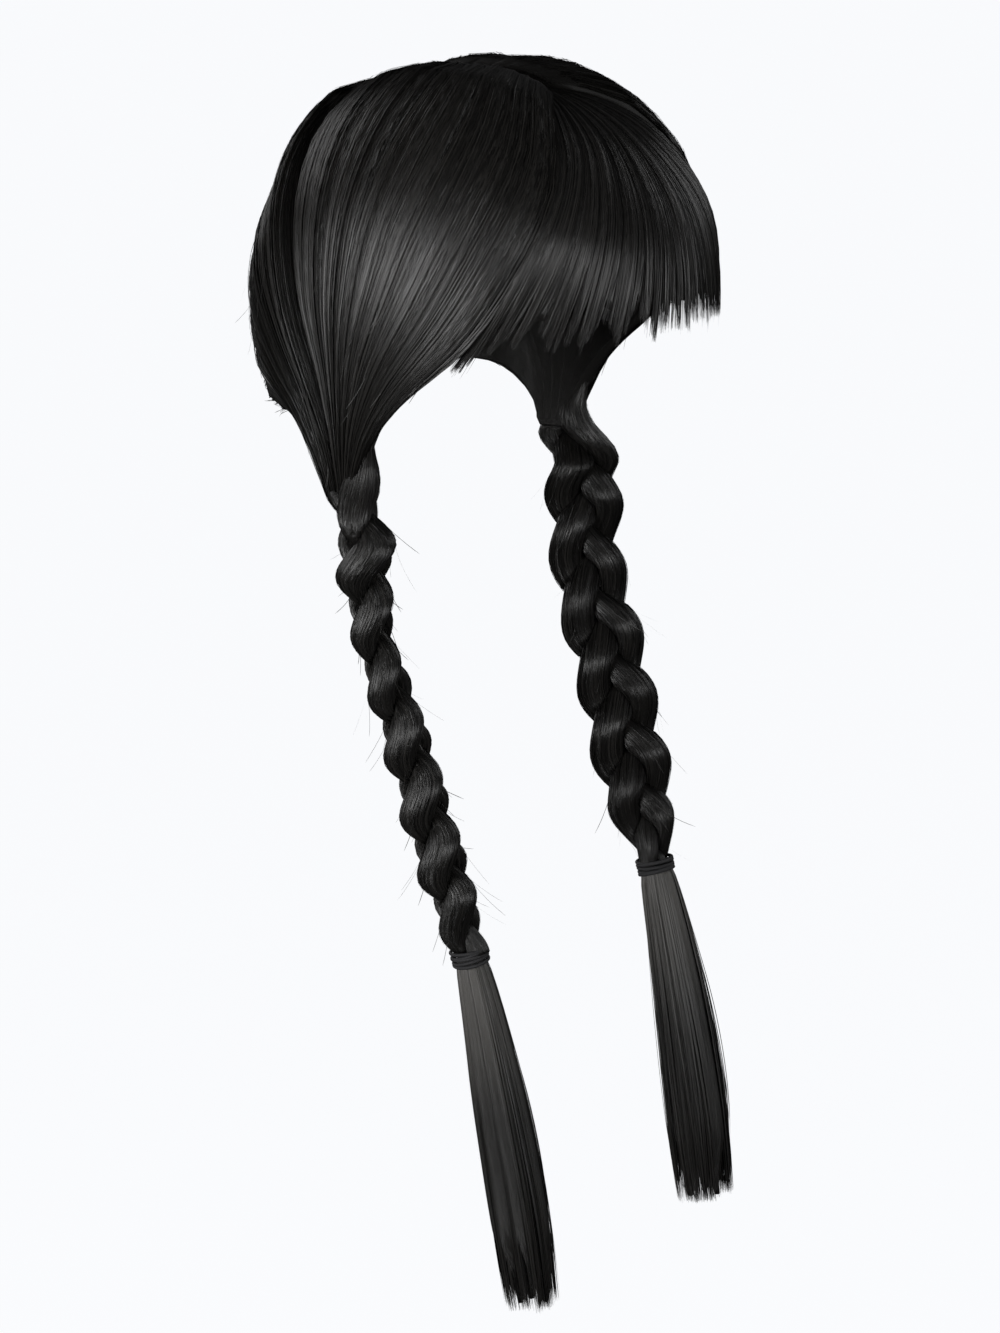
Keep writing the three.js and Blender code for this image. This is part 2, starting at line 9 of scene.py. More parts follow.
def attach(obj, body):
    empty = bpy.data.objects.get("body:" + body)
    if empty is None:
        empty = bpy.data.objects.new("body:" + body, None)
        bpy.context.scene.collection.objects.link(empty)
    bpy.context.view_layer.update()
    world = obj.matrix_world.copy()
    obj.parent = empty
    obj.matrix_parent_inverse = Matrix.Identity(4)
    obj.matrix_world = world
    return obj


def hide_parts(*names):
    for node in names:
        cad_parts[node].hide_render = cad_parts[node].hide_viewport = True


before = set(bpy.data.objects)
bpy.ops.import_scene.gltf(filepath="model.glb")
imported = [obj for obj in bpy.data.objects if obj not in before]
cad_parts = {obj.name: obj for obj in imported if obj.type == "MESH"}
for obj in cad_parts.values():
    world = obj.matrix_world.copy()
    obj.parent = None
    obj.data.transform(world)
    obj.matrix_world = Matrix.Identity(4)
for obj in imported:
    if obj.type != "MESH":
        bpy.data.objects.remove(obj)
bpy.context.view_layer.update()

# Lengths are in millimetres until a mesh is made. The first coordinate is "out", away from the middle
# plane, and the wearer's right side is the mirror image.
MM = 0.001
SEED = 20
FRINGE_SEED, FRINGE_STREAK_SEED, STRAND_SEED, TIE_SEED, TAIL_SEED = 500, 77, 900, 1500, 1700

# Head and cap, as in the frame
HEAD_HALF_WIDTH, HEAD_FRONT, HEAD_BACK, HEAD_TOP = 76, 106, 87, 95
HEAD_BELOW_FACE, HEAD_BELOW_NAPE, HEAD_SQUARENESS = 195, 128, 2.08
CAP_WALL, HAIR_GAP, GAP = 1.5, 0.8, 0.35
UNDERSIDE = CAP_WALL + HAIR_GAP
PARTING_WIDTH, PARTING_LENGTH = 5, 32

# Hair on the head
HAIR_THICKNESS, ROOT_THICKNESS, TIP_THICKNESS = 11, 3, 1.2
CROWN_LIFT, GATHER_THICKNESS, FLUTE_DEPTH = 2.5, 12, 0.9
FRINGE_THICKNESS, FRINGE_DROP = 7, 84
SHEET_ROWS, FRINGE_ROWS = 12, 7

# Plaits, ties and tails
ROOT_DROP, TIE_DROP, TIP_DROP = 167.8, 362, 521
ROOT_OUT, TIE_OUT, TIP_OUT = 83, 73, 70.5
TIE_AHEAD, TIP_AHEAD = 48.3, 82
PLAIT_WIDTH, PLAIT_DEPTH, PLAIT_TURN = 36, 19, 35
ROOT_SETBACK, SETBACK_LENGTH, LEAD_IN, LEAD_AHEAD = 7, 14, 16, 5
SPREAD_WIDTH, SPREAD_OUTER, SPREAD_INNER, SPREAD_MIDDLE = 0.52, 0.97, 0.66, 0.58
TIE_WIDTH, TIE_DEPTH, TIE_HEIGHT = 14.5, 13.5, 7
TAIL_WIDTH, TAIL_DEPTH = 27, 26
PLAITS = {"right": (26.8, 111), "left": (30.4, 61)}  # lobe pitch, start in degrees

# Hairs: their widths, the steps along each, and the tone of the shell that they lie on
HAIR_WIDTH, FRINGE_HAIR_WIDTH, STRAY_WIDTH = 0.42, 0.4, 0.2
HAIR_STEPS, FRINGE_STEPS, STRAND_STEPS, STRAY_STEPS = 20, 18, 50, 9
SHELL_TONE = 0.35

# Uneven ridges along the hair: (ridges over the width, height) for each layer
HAIR_STREAKS = ((9, 0.4), (26, 0.14), (70, 0.04))
FRINGE_STREAKS = ((24, 0.3), (60, 0.12))
STRAND_STREAKS = ((8, 0.3), (20, 0.25))
TAIL_STREAKS = ((6, 0.1), (14, 0.08))

# Rim of the cap: (turn round from the brow, drop down from the crown), in degrees
CAP_RIM = [(0, 70), (35, 72), (60, 82), (78, 102), (92, 99), (105, 103), (130, 110), (180, 114)]

# Lines along which the hair parts: (turn, drop)
PART_LINES = {
    "temple": [(6, 17), (28, 36), (37, 57), (49, 76), (59, 90), (69, 100), (79, 109), (88, 119), (95, 130.5)],
    "ear": [(90, 2), (78, 24), (83, 42), (88, 60), (91, 78), (94, 95), (96, 112), (97.5, 130.5)],
    "behind_ear": [
        (179, 22), (145, 40), (131, 55), (122, 70), (114, 88), (106, 105), (101, 118), (100, 130.5),
    ],
    "lock": [
        (179, 29), (152, 46), (138, 62), (128, 78), (118, 94), (109, 109), (104, 121), (102.5, 130.5),
    ],
    "nape": [
        (179.9, 122), (166, 121.5), (152, 119.5), (140, 116.5), (129, 116), (118, 118.5), (109, 125),
        (105.5, 130.5),
    ],
}

# Sections: node, lines beside it, locks, thickness at its first edge, middle and last edge, hairs, and how
# much its first and its last edge are rolled down
Section = namedtuple(
    "Section", "name first_line last_line locks first middle last hairs first_roll last_roll"
)
SECTIONS = [
    Section("side_front", "temple", "ear", 5, 0.62, 1.0, 0.95, 1500, 0.3, 0.1),
    Section("side_rear", "ear", "behind_ear", 4, 0.9, 0.92, 0.68, 1200, 0.15, 0.7),
    Section("wrap_lock", "behind_ear", "lock", 1, 0.9, 1.2, 0.9, 700, 0.75, 0.75),
    Section("back_hair", "lock", "nape", 6, 0.72, 1.0, 0.35, 1400, 0.6, 0.3),
]

# Locks of the fringe: (share of the width, tip below the cut, notch above it)
FRINGE_LOCKS = [
    (0.9, 0.01, 0.02), (0.8, 0.02, 0.01), (0.9, 0.015, 0.025), (0.8, 0.03, 0.015), (1.0, 0.02, 0.06),
    (0.9, 0.035, 0.08), (1.2, 0.015, 0.015), (1.1, 0.015, 0.02), (1.1, 0.01, 0.015), (1.2, 0.015, 0.025),
    (1.0, 0.02, 0.015), (1.1, 0.015, 0.03), (0.9, 0.02, 0.02), (0.9, 0.025, 0.01), (0.9, 0.01, 0.01),
]

# Route of a plait and of a tail, as shares: (down, ahead, out)
PLAIT_ROUTE = [
    (0, -0.02, 0), (0.2, 0, 0.14), (0.33, 0.09, 0.3), (0.5, 0.34, 0.52), (0.75, 0.66, 0.78), (1, 1, 1),
]
TAIL_ROUTE = [(0.35, 0.42, 0.25), (0.7, 0.77, 0.6), (1, 1, 1)]

# Sizes along a plait and along a tail, as shares: (along, width, depth)
PLAIT_SIZE = [
    (0, 0.86, 1.0), (0.08, 1.0, 1.08), (0.3, 0.97, 0.74), (0.5, 1.0, 0.86), (0.84, 0.94, 0.92),
    (0.93, 0.62, 0.78), (1, 0.43, 0.72),
]
TAIL_SIZE = [
    (0, 0.5, 0.48), (0.05, 0.62, 0.58), (0.2, 0.76, 0.74), (0.45, 0.95, 0.95), (0.75, 1.03, 1.02),
    (1, 0.92, 0.92),
]

# Locks of a tail: (degrees round, off the middle, length)
TAIL_LOCKS = [
    (0, 0, 0.985), (10, 1, 0.96), (62, 1, 0.99), (113, 1, 0.95), (165, 1, 0.975), (216, 1, 1.0),
    (268, 1, 0.955), (319, 1, 0.98),
]


def mix(a, b, t):
    return a + (b - a) * t


def smoothstep(x, low, high):
    """0 up to low, 1 from high on, with a smooth rise between them."""
    t = np.clip((x - low) / (high - low), 0, 1)
    return t * t * (3 - 2 * t)


def unit(v):
    return v / np.maximum(np.linalg.norm(v, axis=-1, keepdims=True), 1e-9)


def read(table, column, x):
    """Smooth value of a table's column where its first column reaches x."""
    rows = np.array(table, float)
    key, value = rows[:, 0], rows[:, column]
    last = len(rows) - 1
    i = np.clip(np.searchsorted(key, x, side="left") - 1, 0, last - 1)
    before, after = np.maximum(i - 1, 0), np.minimum(i + 1, last)
    span = key[i + 1] - key[i]
    t = np.clip((x - key[i]) / span, 0, 1)
    slope_a = (value[after] - value[before]) / (key[after] - key[before])
    beyond = np.minimum(i + 2, last)
    slope_b = (value[beyond] - value[i]) / (key[beyond] - key[i])
    return (  # Hermite's cubic
        (2 * t**3 - 3 * t**2 + 1) * value[i]
        + (t**3 - 2 * t**2 + t) * span * slope_a
        + (3 * t**2 - 2 * t**3) * value[i + 1]
        + (t**3 - t**2) * span * slope_b
    )


SPLINE_STEPS = 60


def spline(points, power, extend):
    """Catmull-Rom curve through points, sampled finely. Power 0.5 is centripetal and 0 is uniform."""
    points = np.array(points, float)
    first = 2 * points[0] - points[1] if extend else points[0]
    end = 2 * points[-1] - points[-2] if extend else points[-1]
    p = np.vstack([first, points, end])
    t = np.linspace(0, 1, SPLINE_STEPS, endpoint=False)[:, None]
    spans = []
    for i in range(len(points) - 1):
        a, b, c, d = p[i:i + 4]
        if power:
            ab, bc, cd = (np.linalg.norm(n - m) ** power for m, n in ((a, b), (b, c), (c, d)))
            leave = ((b - a) / ab - (c - a) / (ab + bc) + (c - b) / bc) * bc
            arrive = ((c - b) / bc - (d - b) / (bc + cd) + (d - c) / cd) * bc
        else:
            leave, arrive = (c - a) / 2, (d - b) / 2
        spans.append(b + leave * t + (3 * c - 3 * b - 2 * leave - arrive) * t**2
                     + (2 * b - 2 * c + leave + arrive) * t**3)
    return np.vstack([*spans, points[-1:]])


def by_length(curve):
    """Distances along a sampled curve."""
    steps = np.linalg.norm(np.diff(curve, axis=0), axis=1)
    return np.concatenate([[0], np.cumsum(steps)])


def on_head(turn, drop, lift):
    """Points on the head's form, raised by a lift: degrees round from the brow and down from the crown."""
    t, d = np.radians(turn), np.radians(drop)
    t, d, lift = np.broadcast_arrays(t, d, lift)
    way = np.stack([np.sin(t) * np.sin(d), -np.cos(t) * np.sin(d), np.cos(d)], -1)
    below = mix(HEAD_BELOW_NAPE, HEAD_BELOW_FACE, 0.5 + 0.5 * np.cos(t))
    reach = np.stack([
        HEAD_HALF_WIDTH + lift,
        np.where(way[..., 1] < 0, HEAD_FRONT, HEAD_BACK) + lift,
        np.where(way[..., 2] > 0, HEAD_TOP, below) + lift,
    ], -1)
    far = (np.abs(way / reach) ** HEAD_SQUARENESS).sum(-1) ** (-1 / HEAD_SQUARENESS)
    point = way * far[..., None]
    point[..., 2] -= HEAD_TOP
    return point


def to_chart(turn, drop):
    """Flat map of the head, with the crown in the middle and degrees down from it as the distance."""
    t = np.radians(turn)
    return np.stack([drop * np.sin(t), -drop * np.cos(t)], -1)


def from_chart(p):
    return np.degrees(np.arctan2(p[..., 0], -p[..., 1])), np.hypot(p[..., 0], p[..., 1])


def make_line(rows):
    """A parting line as a curve on the map, with each point's share of its length."""
    turns, drops = np.array(rows, float).T
    curve = spline(to_chart(turns, drops), 0, False)
    length = by_length(curve)
    return length / length[-1], curve


LINES = {name: make_line(rows) for name, rows in PART_LINES.items()}


def line_at(name, v):
    """Points on a parting line, at shares of its length."""
    share, curve = LINES[name]
    v = np.clip(v, 0, 1)
    return np.stack([np.interp(v, share, curve[:, 0]), np.interp(v, share, curve[:, 1])], -1)


def crown_degrees(length):
    return math.degrees(length / HEAD_TOP)


def nearest(back):
    """How near the middle plane the hair comes: it leaves room for the scalp patch, and closes behind it."""
    patch_end = crown_degrees(PARTING_LENGTH + PARTING_WIDTH) - PART_LINES["temple"][0][1]
    return np.where(back < patch_end, crown_degrees(PARTING_WIDTH / 2), crown_degrees(-GAP / 4))


# Centre line of a plait and its tail
ROOT = np.array([ROOT_DROP, 0, ROOT_OUT])
TIE = np.array([TIE_DROP, TIE_AHEAD, TIE_OUT])
TIP = np.array([TIP_DROP, TIP_AHEAD, TIP_OUT])


def fall(shares, start, end):
    """A point at shares of the way from start to end, all three given as down, ahead and out."""
    down, ahead, out = start + (end - start) * np.array(shares)
    return np.array([out, -ahead, -down])


ROUTE = spline(
    [fall(row, ROOT, TIE) for row in PLAIT_ROUTE] + [fall(row, TIE, TIP) for row in TAIL_ROUTE], 0.5, True
)
ROUTE_AT = by_length(ROUTE)
ROUTE_LENGTH = ROUTE_AT[-1]
ROUTE_AHEAD = unit(np.gradient(ROUTE, ROUTE_AT, axis=0))
TIE_ALONG = float(np.interp(TIE_DROP, -ROUTE[:, 2], ROUTE_AT))
TAIL_LENGTH = ROUTE_LENGTH - TIE_ALONG
TURN = math.radians(PLAIT_TURN)


def on_route(along, width, depth):
    """Points beside the route: a width across the plait and a depth through it, at a distance along."""
    kept = np.clip(along, 0, ROUTE_LENGTH)
    middle = np.stack([np.interp(kept, ROUTE_AT, ROUTE[:, i]) for i in range(3)], -1)
    ahead = unit(np.stack([np.interp(kept, ROUTE_AT, ROUTE_AHEAD[:, i]) for i in range(3)], -1))
    middle = middle + ahead * (along - kept)[..., None]
    level = np.array([math.cos(TURN), -math.sin(TURN), 0])
    across = unit(level - ahead * (ahead @ level)[..., None])
    through = np.cross(ahead, across)
    return middle + across * width[..., None] + through * depth[..., None]


def streaks(u, v, seed, layers):
    """Height of uneven ridges that run along the hair and bend a little."""
    before, after, waves = 2, 3, 2.2
    total = np.zeros(np.broadcast(u, v).shape)
    for count, height in layers:
        draw = np.random.default_rng(seed * 100 + count)
        values = draw.uniform(-1, 1, before + count + after)
        bend = draw.uniform(0.3, 0.8) * np.sin(waves * v + draw.uniform(0, 6))
        total = total + height * np.interp(u * count + before + bend, np.arange(len(values)), values)
    return total


# Meshes


class Parts:
    """Points, four-cornered faces, coordinates across and along the hair, and a tone for each point."""

    def __init__(self, mirrored):
        self.mirrored = mirrored
        self.points, self.faces, self.places, self.tones, self.count = [], [], [], [], 0

    def add(self, points, faces, places, tones):
        points = points.reshape(-1, 3)
        self.points.append(points)
        self.faces.append(faces.reshape(-1, 4) + self.count)
        self.places.append(places.reshape(-1, 2))
        self.tones.append(np.broadcast_to(tones, (len(points),)))
        self.count += len(points)

    def build(self, name, material, slot, *nodes):
        """Make the mesh and its object, which replaces nodes of the frame."""
        points = np.vstack(self.points) * MM
        faces = np.vstack(self.faces)
        if self.mirrored:
            points = points * [-1, 1, 1]
            faces = faces[:, ::-1]
        mesh = bpy.data.meshes.new(name)
        mesh.from_pydata(points, [], faces)
        mesh.polygons.foreach_set("use_smooth", np.ones(len(faces), bool))
        layer = mesh.uv_layers.new(name="hair")
        layer.uv.foreach_set("vector", np.vstack(self.places)[faces.ravel()].ravel().astype(np.float32))
        tone = mesh.attributes.new("tone", "FLOAT", "POINT")
        tone.data.foreach_set("value", np.concatenate(self.tones).astype(np.float32))
        mesh.materials.append(material)
        mesh.update()
        piece = bpy.data.objects.new(name, mesh)
        bpy.context.scene.collection.objects.link(piece)
        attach(piece, "root")
        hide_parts(*nodes)


def grid_faces(rows, columns, start=0, wrap=False):
    """Faces of a grid of points, row by row. With wrap, the last column joins the first."""
    i, j = np.meshgrid(np.arange(rows - 1), np.arange(columns if wrap else columns - 1), indexing="ij")
    k = (j + 1) % columns
    corners = [i * columns + j, (i + 1) * columns + j, (i + 1) * columns + k, i * columns + k]
    return start + np.stack(corners, -1).reshape(-1, 4)


def add_shell(parts, outer, inner, u, v):
    """A closed sheet of hair from grids of outer and inner points."""
    rows, columns = outer.shape[:2]
    size = rows * columns

    def at(layer, i, j):
        return layer * size + i * columns + j

    low, far = rows - 1, columns - 1
    i, j = np.arange(low), np.arange(far)
    faces = [
        grid_faces(rows, columns),
        grid_faces(rows, columns, size)[:, ::-1],
        np.stack([at(0, 0, j), at(0, 0, j + 1), at(1, 0, j + 1), at(1, 0, j)], -1),
        np.stack([at(0, low, j), at(1, low, j), at(1, low, j + 1), at(0, low, j + 1)], -1),
        np.stack([at(0, i, 0), at(1, i, 0), at(1, i + 1, 0), at(0, i + 1, 0)], -1),
        np.stack([at(0, i, far), at(0, i + 1, far), at(1, i + 1, far), at(1, i, far)], -1),
    ]
    places = np.stack([np.broadcast_to(u, outer.shape[:2]), np.broadcast_to(v, outer.shape[:2])], -1)
    parts.add(np.concatenate([outer.reshape(-1, 3), inner.reshape(-1, 3)]), np.vstack(faces),
              np.concatenate([places.reshape(-1, 2)] * 2), SHELL_TONE)


def add_tube(parts, rings, u, v):
    """A tube of hair through rings of points, closed to a point at each end."""
    rows, sides = rings.shape[:2]
    ends = rings[[0, -1]].mean(axis=1, keepdims=True)
    whole = np.concatenate([np.repeat(ends[:1], sides, 1), rings, np.repeat(ends[1:], sides, 1)])
    u, v = np.broadcast_to(u, rings.shape[:2]), np.broadcast_to(v, rings.shape[:2])
    u, v = (np.concatenate([w[:1], w, w[-1:]]) for w in (u, v))
    parts.add(whole, grid_faces(rows + 2, sides, wrap=True)[:, ::-1], np.stack([u, v], -1), SHELL_TONE)


def add_hairs(parts, middles, outs, widths, u, v, tones, draw, roll=13):
    """Flat hairs along rows of middle points, each turned at random about its own length: by how many
    degrees is the roll."""
    share_across = 0.002
    count, steps = middles.shape[:2]
    ahead = unit(np.gradient(middles, axis=1))
    side = unit(np.cross(ahead, outs))
    up = np.cross(side, ahead)
    angle = np.radians(draw.normal(0, roll, (count, 1, 1)))
    half = (side * np.cos(angle) + up * np.sin(angle)) * widths[..., None] / 2
    points = np.stack([middles - half, middles + half], 2)
    corner = (np.arange(count)[:, None] * steps + np.arange(steps - 1)) * 2
    faces = np.stack([corner, corner + 1, corner + 3, corner + 2], -1)
    places = np.stack([np.stack([u, v], -1), np.stack([u + share_across, v], -1)], 2)
    parts.add(points, faces, places, np.repeat(tones, steps * 2))


def hair_widths(count, steps, width, draw, root=0.5, tip=0.15):
    """Widths along hairs that taper to both ends."""
    s = np.linspace(0, 1, steps)
    taper = np.minimum(mix(root, 1, smoothstep(s, 0, 0.08)), mix(tip, 1, smoothstep(1 - s, 0, 0.12)))
    return taper * draw.uniform(0.7, 1.35, (count, 1)) * width


def clumped(count, clumps, spread, draw):
    """Places from 0 to 1 that crowd round random clumps, with some between."""
    crowded, margin = 0.7, 0.004
    middle = draw.uniform(0, 1, clumps)[draw.integers(0, clumps, count)]
    loose = draw.uniform(0, 1, count)
    at = np.where(draw.uniform(0, 1, count) < crowded, middle + draw.normal(0, spread, count), loose)
    return np.clip(at, margin, 1 - margin)


def add_strays(parts, starts, ahead, outs, lengths, lifts, draw):
    """Loose fine hairs that leave a surface: each runs ahead for its length and drifts off by its lift."""
    count, steps = len(starts), STRAY_STEPS
    s = np.linspace(0, 1, steps)[None, :, None]
    side = unit(np.cross(ahead, outs))[:, None]
    sway = draw.normal(0, 0.12, (count, 1, 1)) * lengths[:, None, None]
    middles = (starts[:, None] + ahead[:, None] * s * lengths[:, None, None]
               + outs[:, None] * s**1.7 * lifts[:, None, None] + side * sway * s**2)
    outward = np.repeat(outs[:, None], steps, 1)
    widths = hair_widths(count, steps, STRAY_WIDTH, draw, root=1, tip=0.3)
    v = np.broadcast_to(s[..., 0], (count, steps))
    u = np.broadcast_to(draw.uniform(0, 1, (count, 1)), (count, steps))
    add_hairs(parts, middles, outward, widths, u, v, draw.uniform(0, 1, count), draw)


# Sections of hair on the head

# From which to which share of its length a section thickens over its roots, flattens below the crown, takes
# on its rolled edges, gathers for the plait, and closes past its end
THICKEN, FLATTEN, ROLL, GATHER, CLOSE = (-0.05, 0.14), (0.25, 0.6), (0.12, 0.5), (0.72, 1), (0.99, 1.06)
# From which to which share of its width each edge is rolled down
FIRST_EDGE, LAST_EDGE = (-0.02, 0.12), (-0.02, 0.1)


def section_thickness(section, u, v):
    edge = np.where(u < 0.5, section.first, section.last)
    across = mix(edge, section.middle, np.sin(np.pi * np.clip(u, 0, 1)) ** 0.8)
    full = mix(HAIR_THICKNESS * across, GATHER_THICKNESS, smoothstep(v, *GATHER))
    crown = CROWN_LIFT * (1 - smoothstep(v, *FLATTEN))
    return mix(ROOT_THICKNESS, full + crown, smoothstep(v, *THICKEN))


def section_top(section, u, v, seed):
    """Height of a section's outer face above the head's form, with its locks, streaks and rolled edges."""
    flute = np.abs(np.sin(np.pi * u * section.locks)) * np.sin(np.pi * np.clip(v + 0.1, 0, 0.9))
    rough = streaks(u, v, seed, HAIR_STREAKS) * smoothstep(v, 0, 0.08)
    first, last = (roll * smoothstep(v, *ROLL) for roll in (section.first_roll, section.last_roll))
    rolled = 1 - first * (1 - smoothstep(u, *FIRST_EDGE))
    rolled = rolled * (1 - last * (1 - smoothstep(1 - u, *LAST_EDGE)))
    return UNDERSIDE + (section_thickness(section, u, v) + FLUTE_DEPTH * flute + rough) * rolled


# Loose hairs of a section: how many, from and to which share across it and along it, length and lift
STRAYS = {
    "side_front": [(34, 0.0, 0.05, 0.62, 0.96, 16, 2), (20, 0.05, 1.0, 0.1, 0.9, 26, 3)],
    "side_rear": [(16, 0.0, 1.0, 0.1, 0.9, 26, 4)],
    "wrap_lock": [(14, 0.0, 1.0, 0.4, 1.0, 22, 5)],
    "back_hair": [(30, 0.93, 1.0, 0.1, 0.95, 14, 3), (16, 0.0, 1.0, 0.1, 0.9, 24, 4)],
}
# Past a section's end: millimetres of plait for each unit of its length, by what share it shrinks over what
# length, and by what share its shell closes as it sinks under its hairs
END_REACH, END_SHRINK, END_SHRINK_LENGTH, END_CLOSED, END_SINK = 110, 0.35, 20, 0.85, 3
CLUMPS_PER_LOCK, CLUMP_SPREAD, OVER_SEAM = 9, 0.012, 0.03


def section_point(section, u, v, lift):
    """Points of a section. Past its end, at v = 1, the hair runs on into the plait."""
    start, end = line_at(section.first_line, v), line_at(section.last_line, v)
    apart = np.linalg.norm(end - start, axis=-1)
    inset = crown_degrees(GAP) / 2 / np.maximum(apart, 0.1)
    p = start + (end - start) * mix(inset, 1 - inset, u)[..., None]
    near = nearest(p[..., 1])
    p[..., 0] = mix(near, np.maximum(p[..., 0], near), np.clip(v * SHEET_ROWS, 0, 1))
    turn, drop = from_chart(p)
    point = on_head(turn, drop, lift)
    past = np.maximum(v - 1, 0) * END_REACH
    zero = np.zeros(1)
    middle = on_route(zero, zero, zero)[0]
    across = on_route(zero, zero + 1, zero)[0] - middle
    through = on_route(zero, zero, zero + 1)[0] - middle
    away = point - middle
    shrink = 1 - END_SHRINK * smoothstep(past, 0, END_SHRINK_LENGTH)
    beyond = on_route(past, (away @ across) * shrink, (away @ through) * shrink)
    ahead = away - (away @ across)[..., None] * across - (away @ through)[..., None] * through
    return np.where((past > 0)[..., None], beyond + ahead, point)


def section_piece(section, label, seed, material):
    """A section of combed hair: its shell, its hairs in clumps, and its loose hairs."""
    name, hairs, steps = section.name, section.hairs, HAIR_STEPS
    parts = Parts(label == "right")
    draw = np.random.default_rng(SEED + seed)
    columns, rows = 73, 38
    u = np.linspace(0, 1, columns)[None, :]
    v = np.concatenate([np.linspace(0, 1, rows), [1.03, 1.06]])[:, None]
    u_all, v_all = np.broadcast_arrays(u, v)
    under = np.broadcast_to(float(UNDERSIDE), u_all.shape)
    top = section_top(section, u_all, v_all, seed)
    closed = smoothstep(v_all, *CLOSE)
    thick = (top - under) * (1 - closed * END_CLOSED)
    sink = closed * -END_SINK
    outer = section_point(section, u_all, v_all, under + thick + sink)
    inner = section_point(section, u_all, v_all, under + sink)
    add_shell(parts, outer, inner, u_all, v_all)

    at = clumped(hairs, section.locks * CLUMPS_PER_LOCK, CLUMP_SPREAD, draw)[:, None]
    begin = draw.uniform(0, 0.06, (hairs, 1)) ** 1.5
    end = draw.uniform(1.0, 1.2, (hairs, 1))
    v = mix(begin, end, np.linspace(0, 1, steps))
    wander = draw.normal(0, 0.012, (hairs, 1)) * np.sin(np.pi * v * draw.uniform(0.5, 1.6, (hairs, 1)))
    over = OVER_SEAM * (name == "side_front") * (draw.uniform(0, 1, (hairs, 1)) > 0.5)
    u = np.clip(at + wander - over * (1 - at) ** 4, -OVER_SEAM, 0.997)
    proud = draw.uniform(-0.2, 0.4, (hairs, 1)) + (draw.uniform(0, 1, (hairs, 1)) > 0.97) * 0.8
    sink = smoothstep(v, 1.0, 1.15) * 5
    lift = section_top(section, u, v, seed) + proud * smoothstep(v, 0, 0.1) - sink
    middles = section_point(section, u, v, lift)
    outs = unit(section_point(section, u, v, lift + 1) - middles)
    widths = hair_widths(hairs, steps, HAIR_WIDTH, draw)
    add_hairs(parts, middles, outs, widths, u, v, draw.uniform(0, 1, hairs), draw)

    for count, low, high, begin, end, length, lift in STRAYS[name]:
        u, v = draw.uniform(low, high, count), draw.uniform(begin, end, count)
        top = section_top(section, u, v, seed)
        starts = section_point(section, u, v, top)
        ahead = unit(section_point(section, u, v + 0.02, top) - starts)
        outs = unit(section_point(section, u, v, top + 1) - starts)
        add_strays(parts, starts, ahead, outs, length * draw.uniform(0.4, 1.2, count),
                   lift * draw.uniform(-0.2, 1.2, count), draw)
    parts.build(f"{name}_{label}_hair", material, "hair", f"{name}_{label}")


# Fringe

FRINGE_TOTAL = sum(lock[0] for lock in FRINGE_LOCKS)
# How much of the locks' tips and notches the shell and the hairs take on, and how far from the cut each ends
SHELL_LOCKS, SHELL_END, HAIRS_LOCKS, HAIRS_END = 0.3, -0.03, 0.6, 0.042
WISPS, WISP_LENGTH = 90, 0.013


def fringe_tables():
    """Across the fringe: where the locks' middles and edges are, how far each reaches past the cut, and the
    middles alone."""
    edge, places, reaches, middles = 0.0, [-1.0], [0.0], []
    for width, tip, notch in FRINGE_LOCKS:
        middle = 2 * (edge + width / 2) / FRINGE_TOTAL - 1
        edge += width
        places += [middle, 2 * edge / FRINGE_TOTAL - 1]
        reaches += [tip, -notch]
        middles.append(middle)
    reaches[-1] = 0.0
    return np.array(places), np.array(reaches), np.array(middles)


FRINGE_PLACES, FRINGE_REACHES, FRINGE_MIDDLES = fringe_tables()


def fringe_top(u, v):
    """Height of the fringe's outer face above the head's form."""
    body = mix(ROOT_THICKNESS, FRINGE_THICKNESS, smoothstep(v, -0.05, 0.4))
    thick = mix(body, TIP_THICKNESS, smoothstep(v, 0.62, 1))
    ridge = np.abs(np.interp(u, FRINGE_PLACES, np.arange(len(FRINGE_PLACES)) % 2))
    rough = streaks((u + 1) / 2, v, FRINGE_STREAK_SEED, FRINGE_STREAKS) * smoothstep(v, 0, 0.15)
    return UNDERSIDE + thick + FLUTE_DEPTH * ridge * np.sin(np.pi * np.clip(v, 0, 1)) + rough


def fringe_point(u, v, reach, lift):
    """Points of the fringe, from one temple at u = -1 to the other, and a reach past the cut at v = 1."""
    turn, drop = from_chart(line_at("temple", v * FRINGE_ROWS / SHEET_ROWS))
    roots = PART_LINES["temple"][0][1]
    middle = mix(roots, FRINGE_DROP, v)
    cut = middle + (drop - middle) * np.abs(u) ** 4
    inset = 1 - crown_degrees(GAP) / drop / np.sin(np.radians(turn))
    return on_head(u * turn * inset, cut + FRINGE_DROP * reach * v**6, lift)


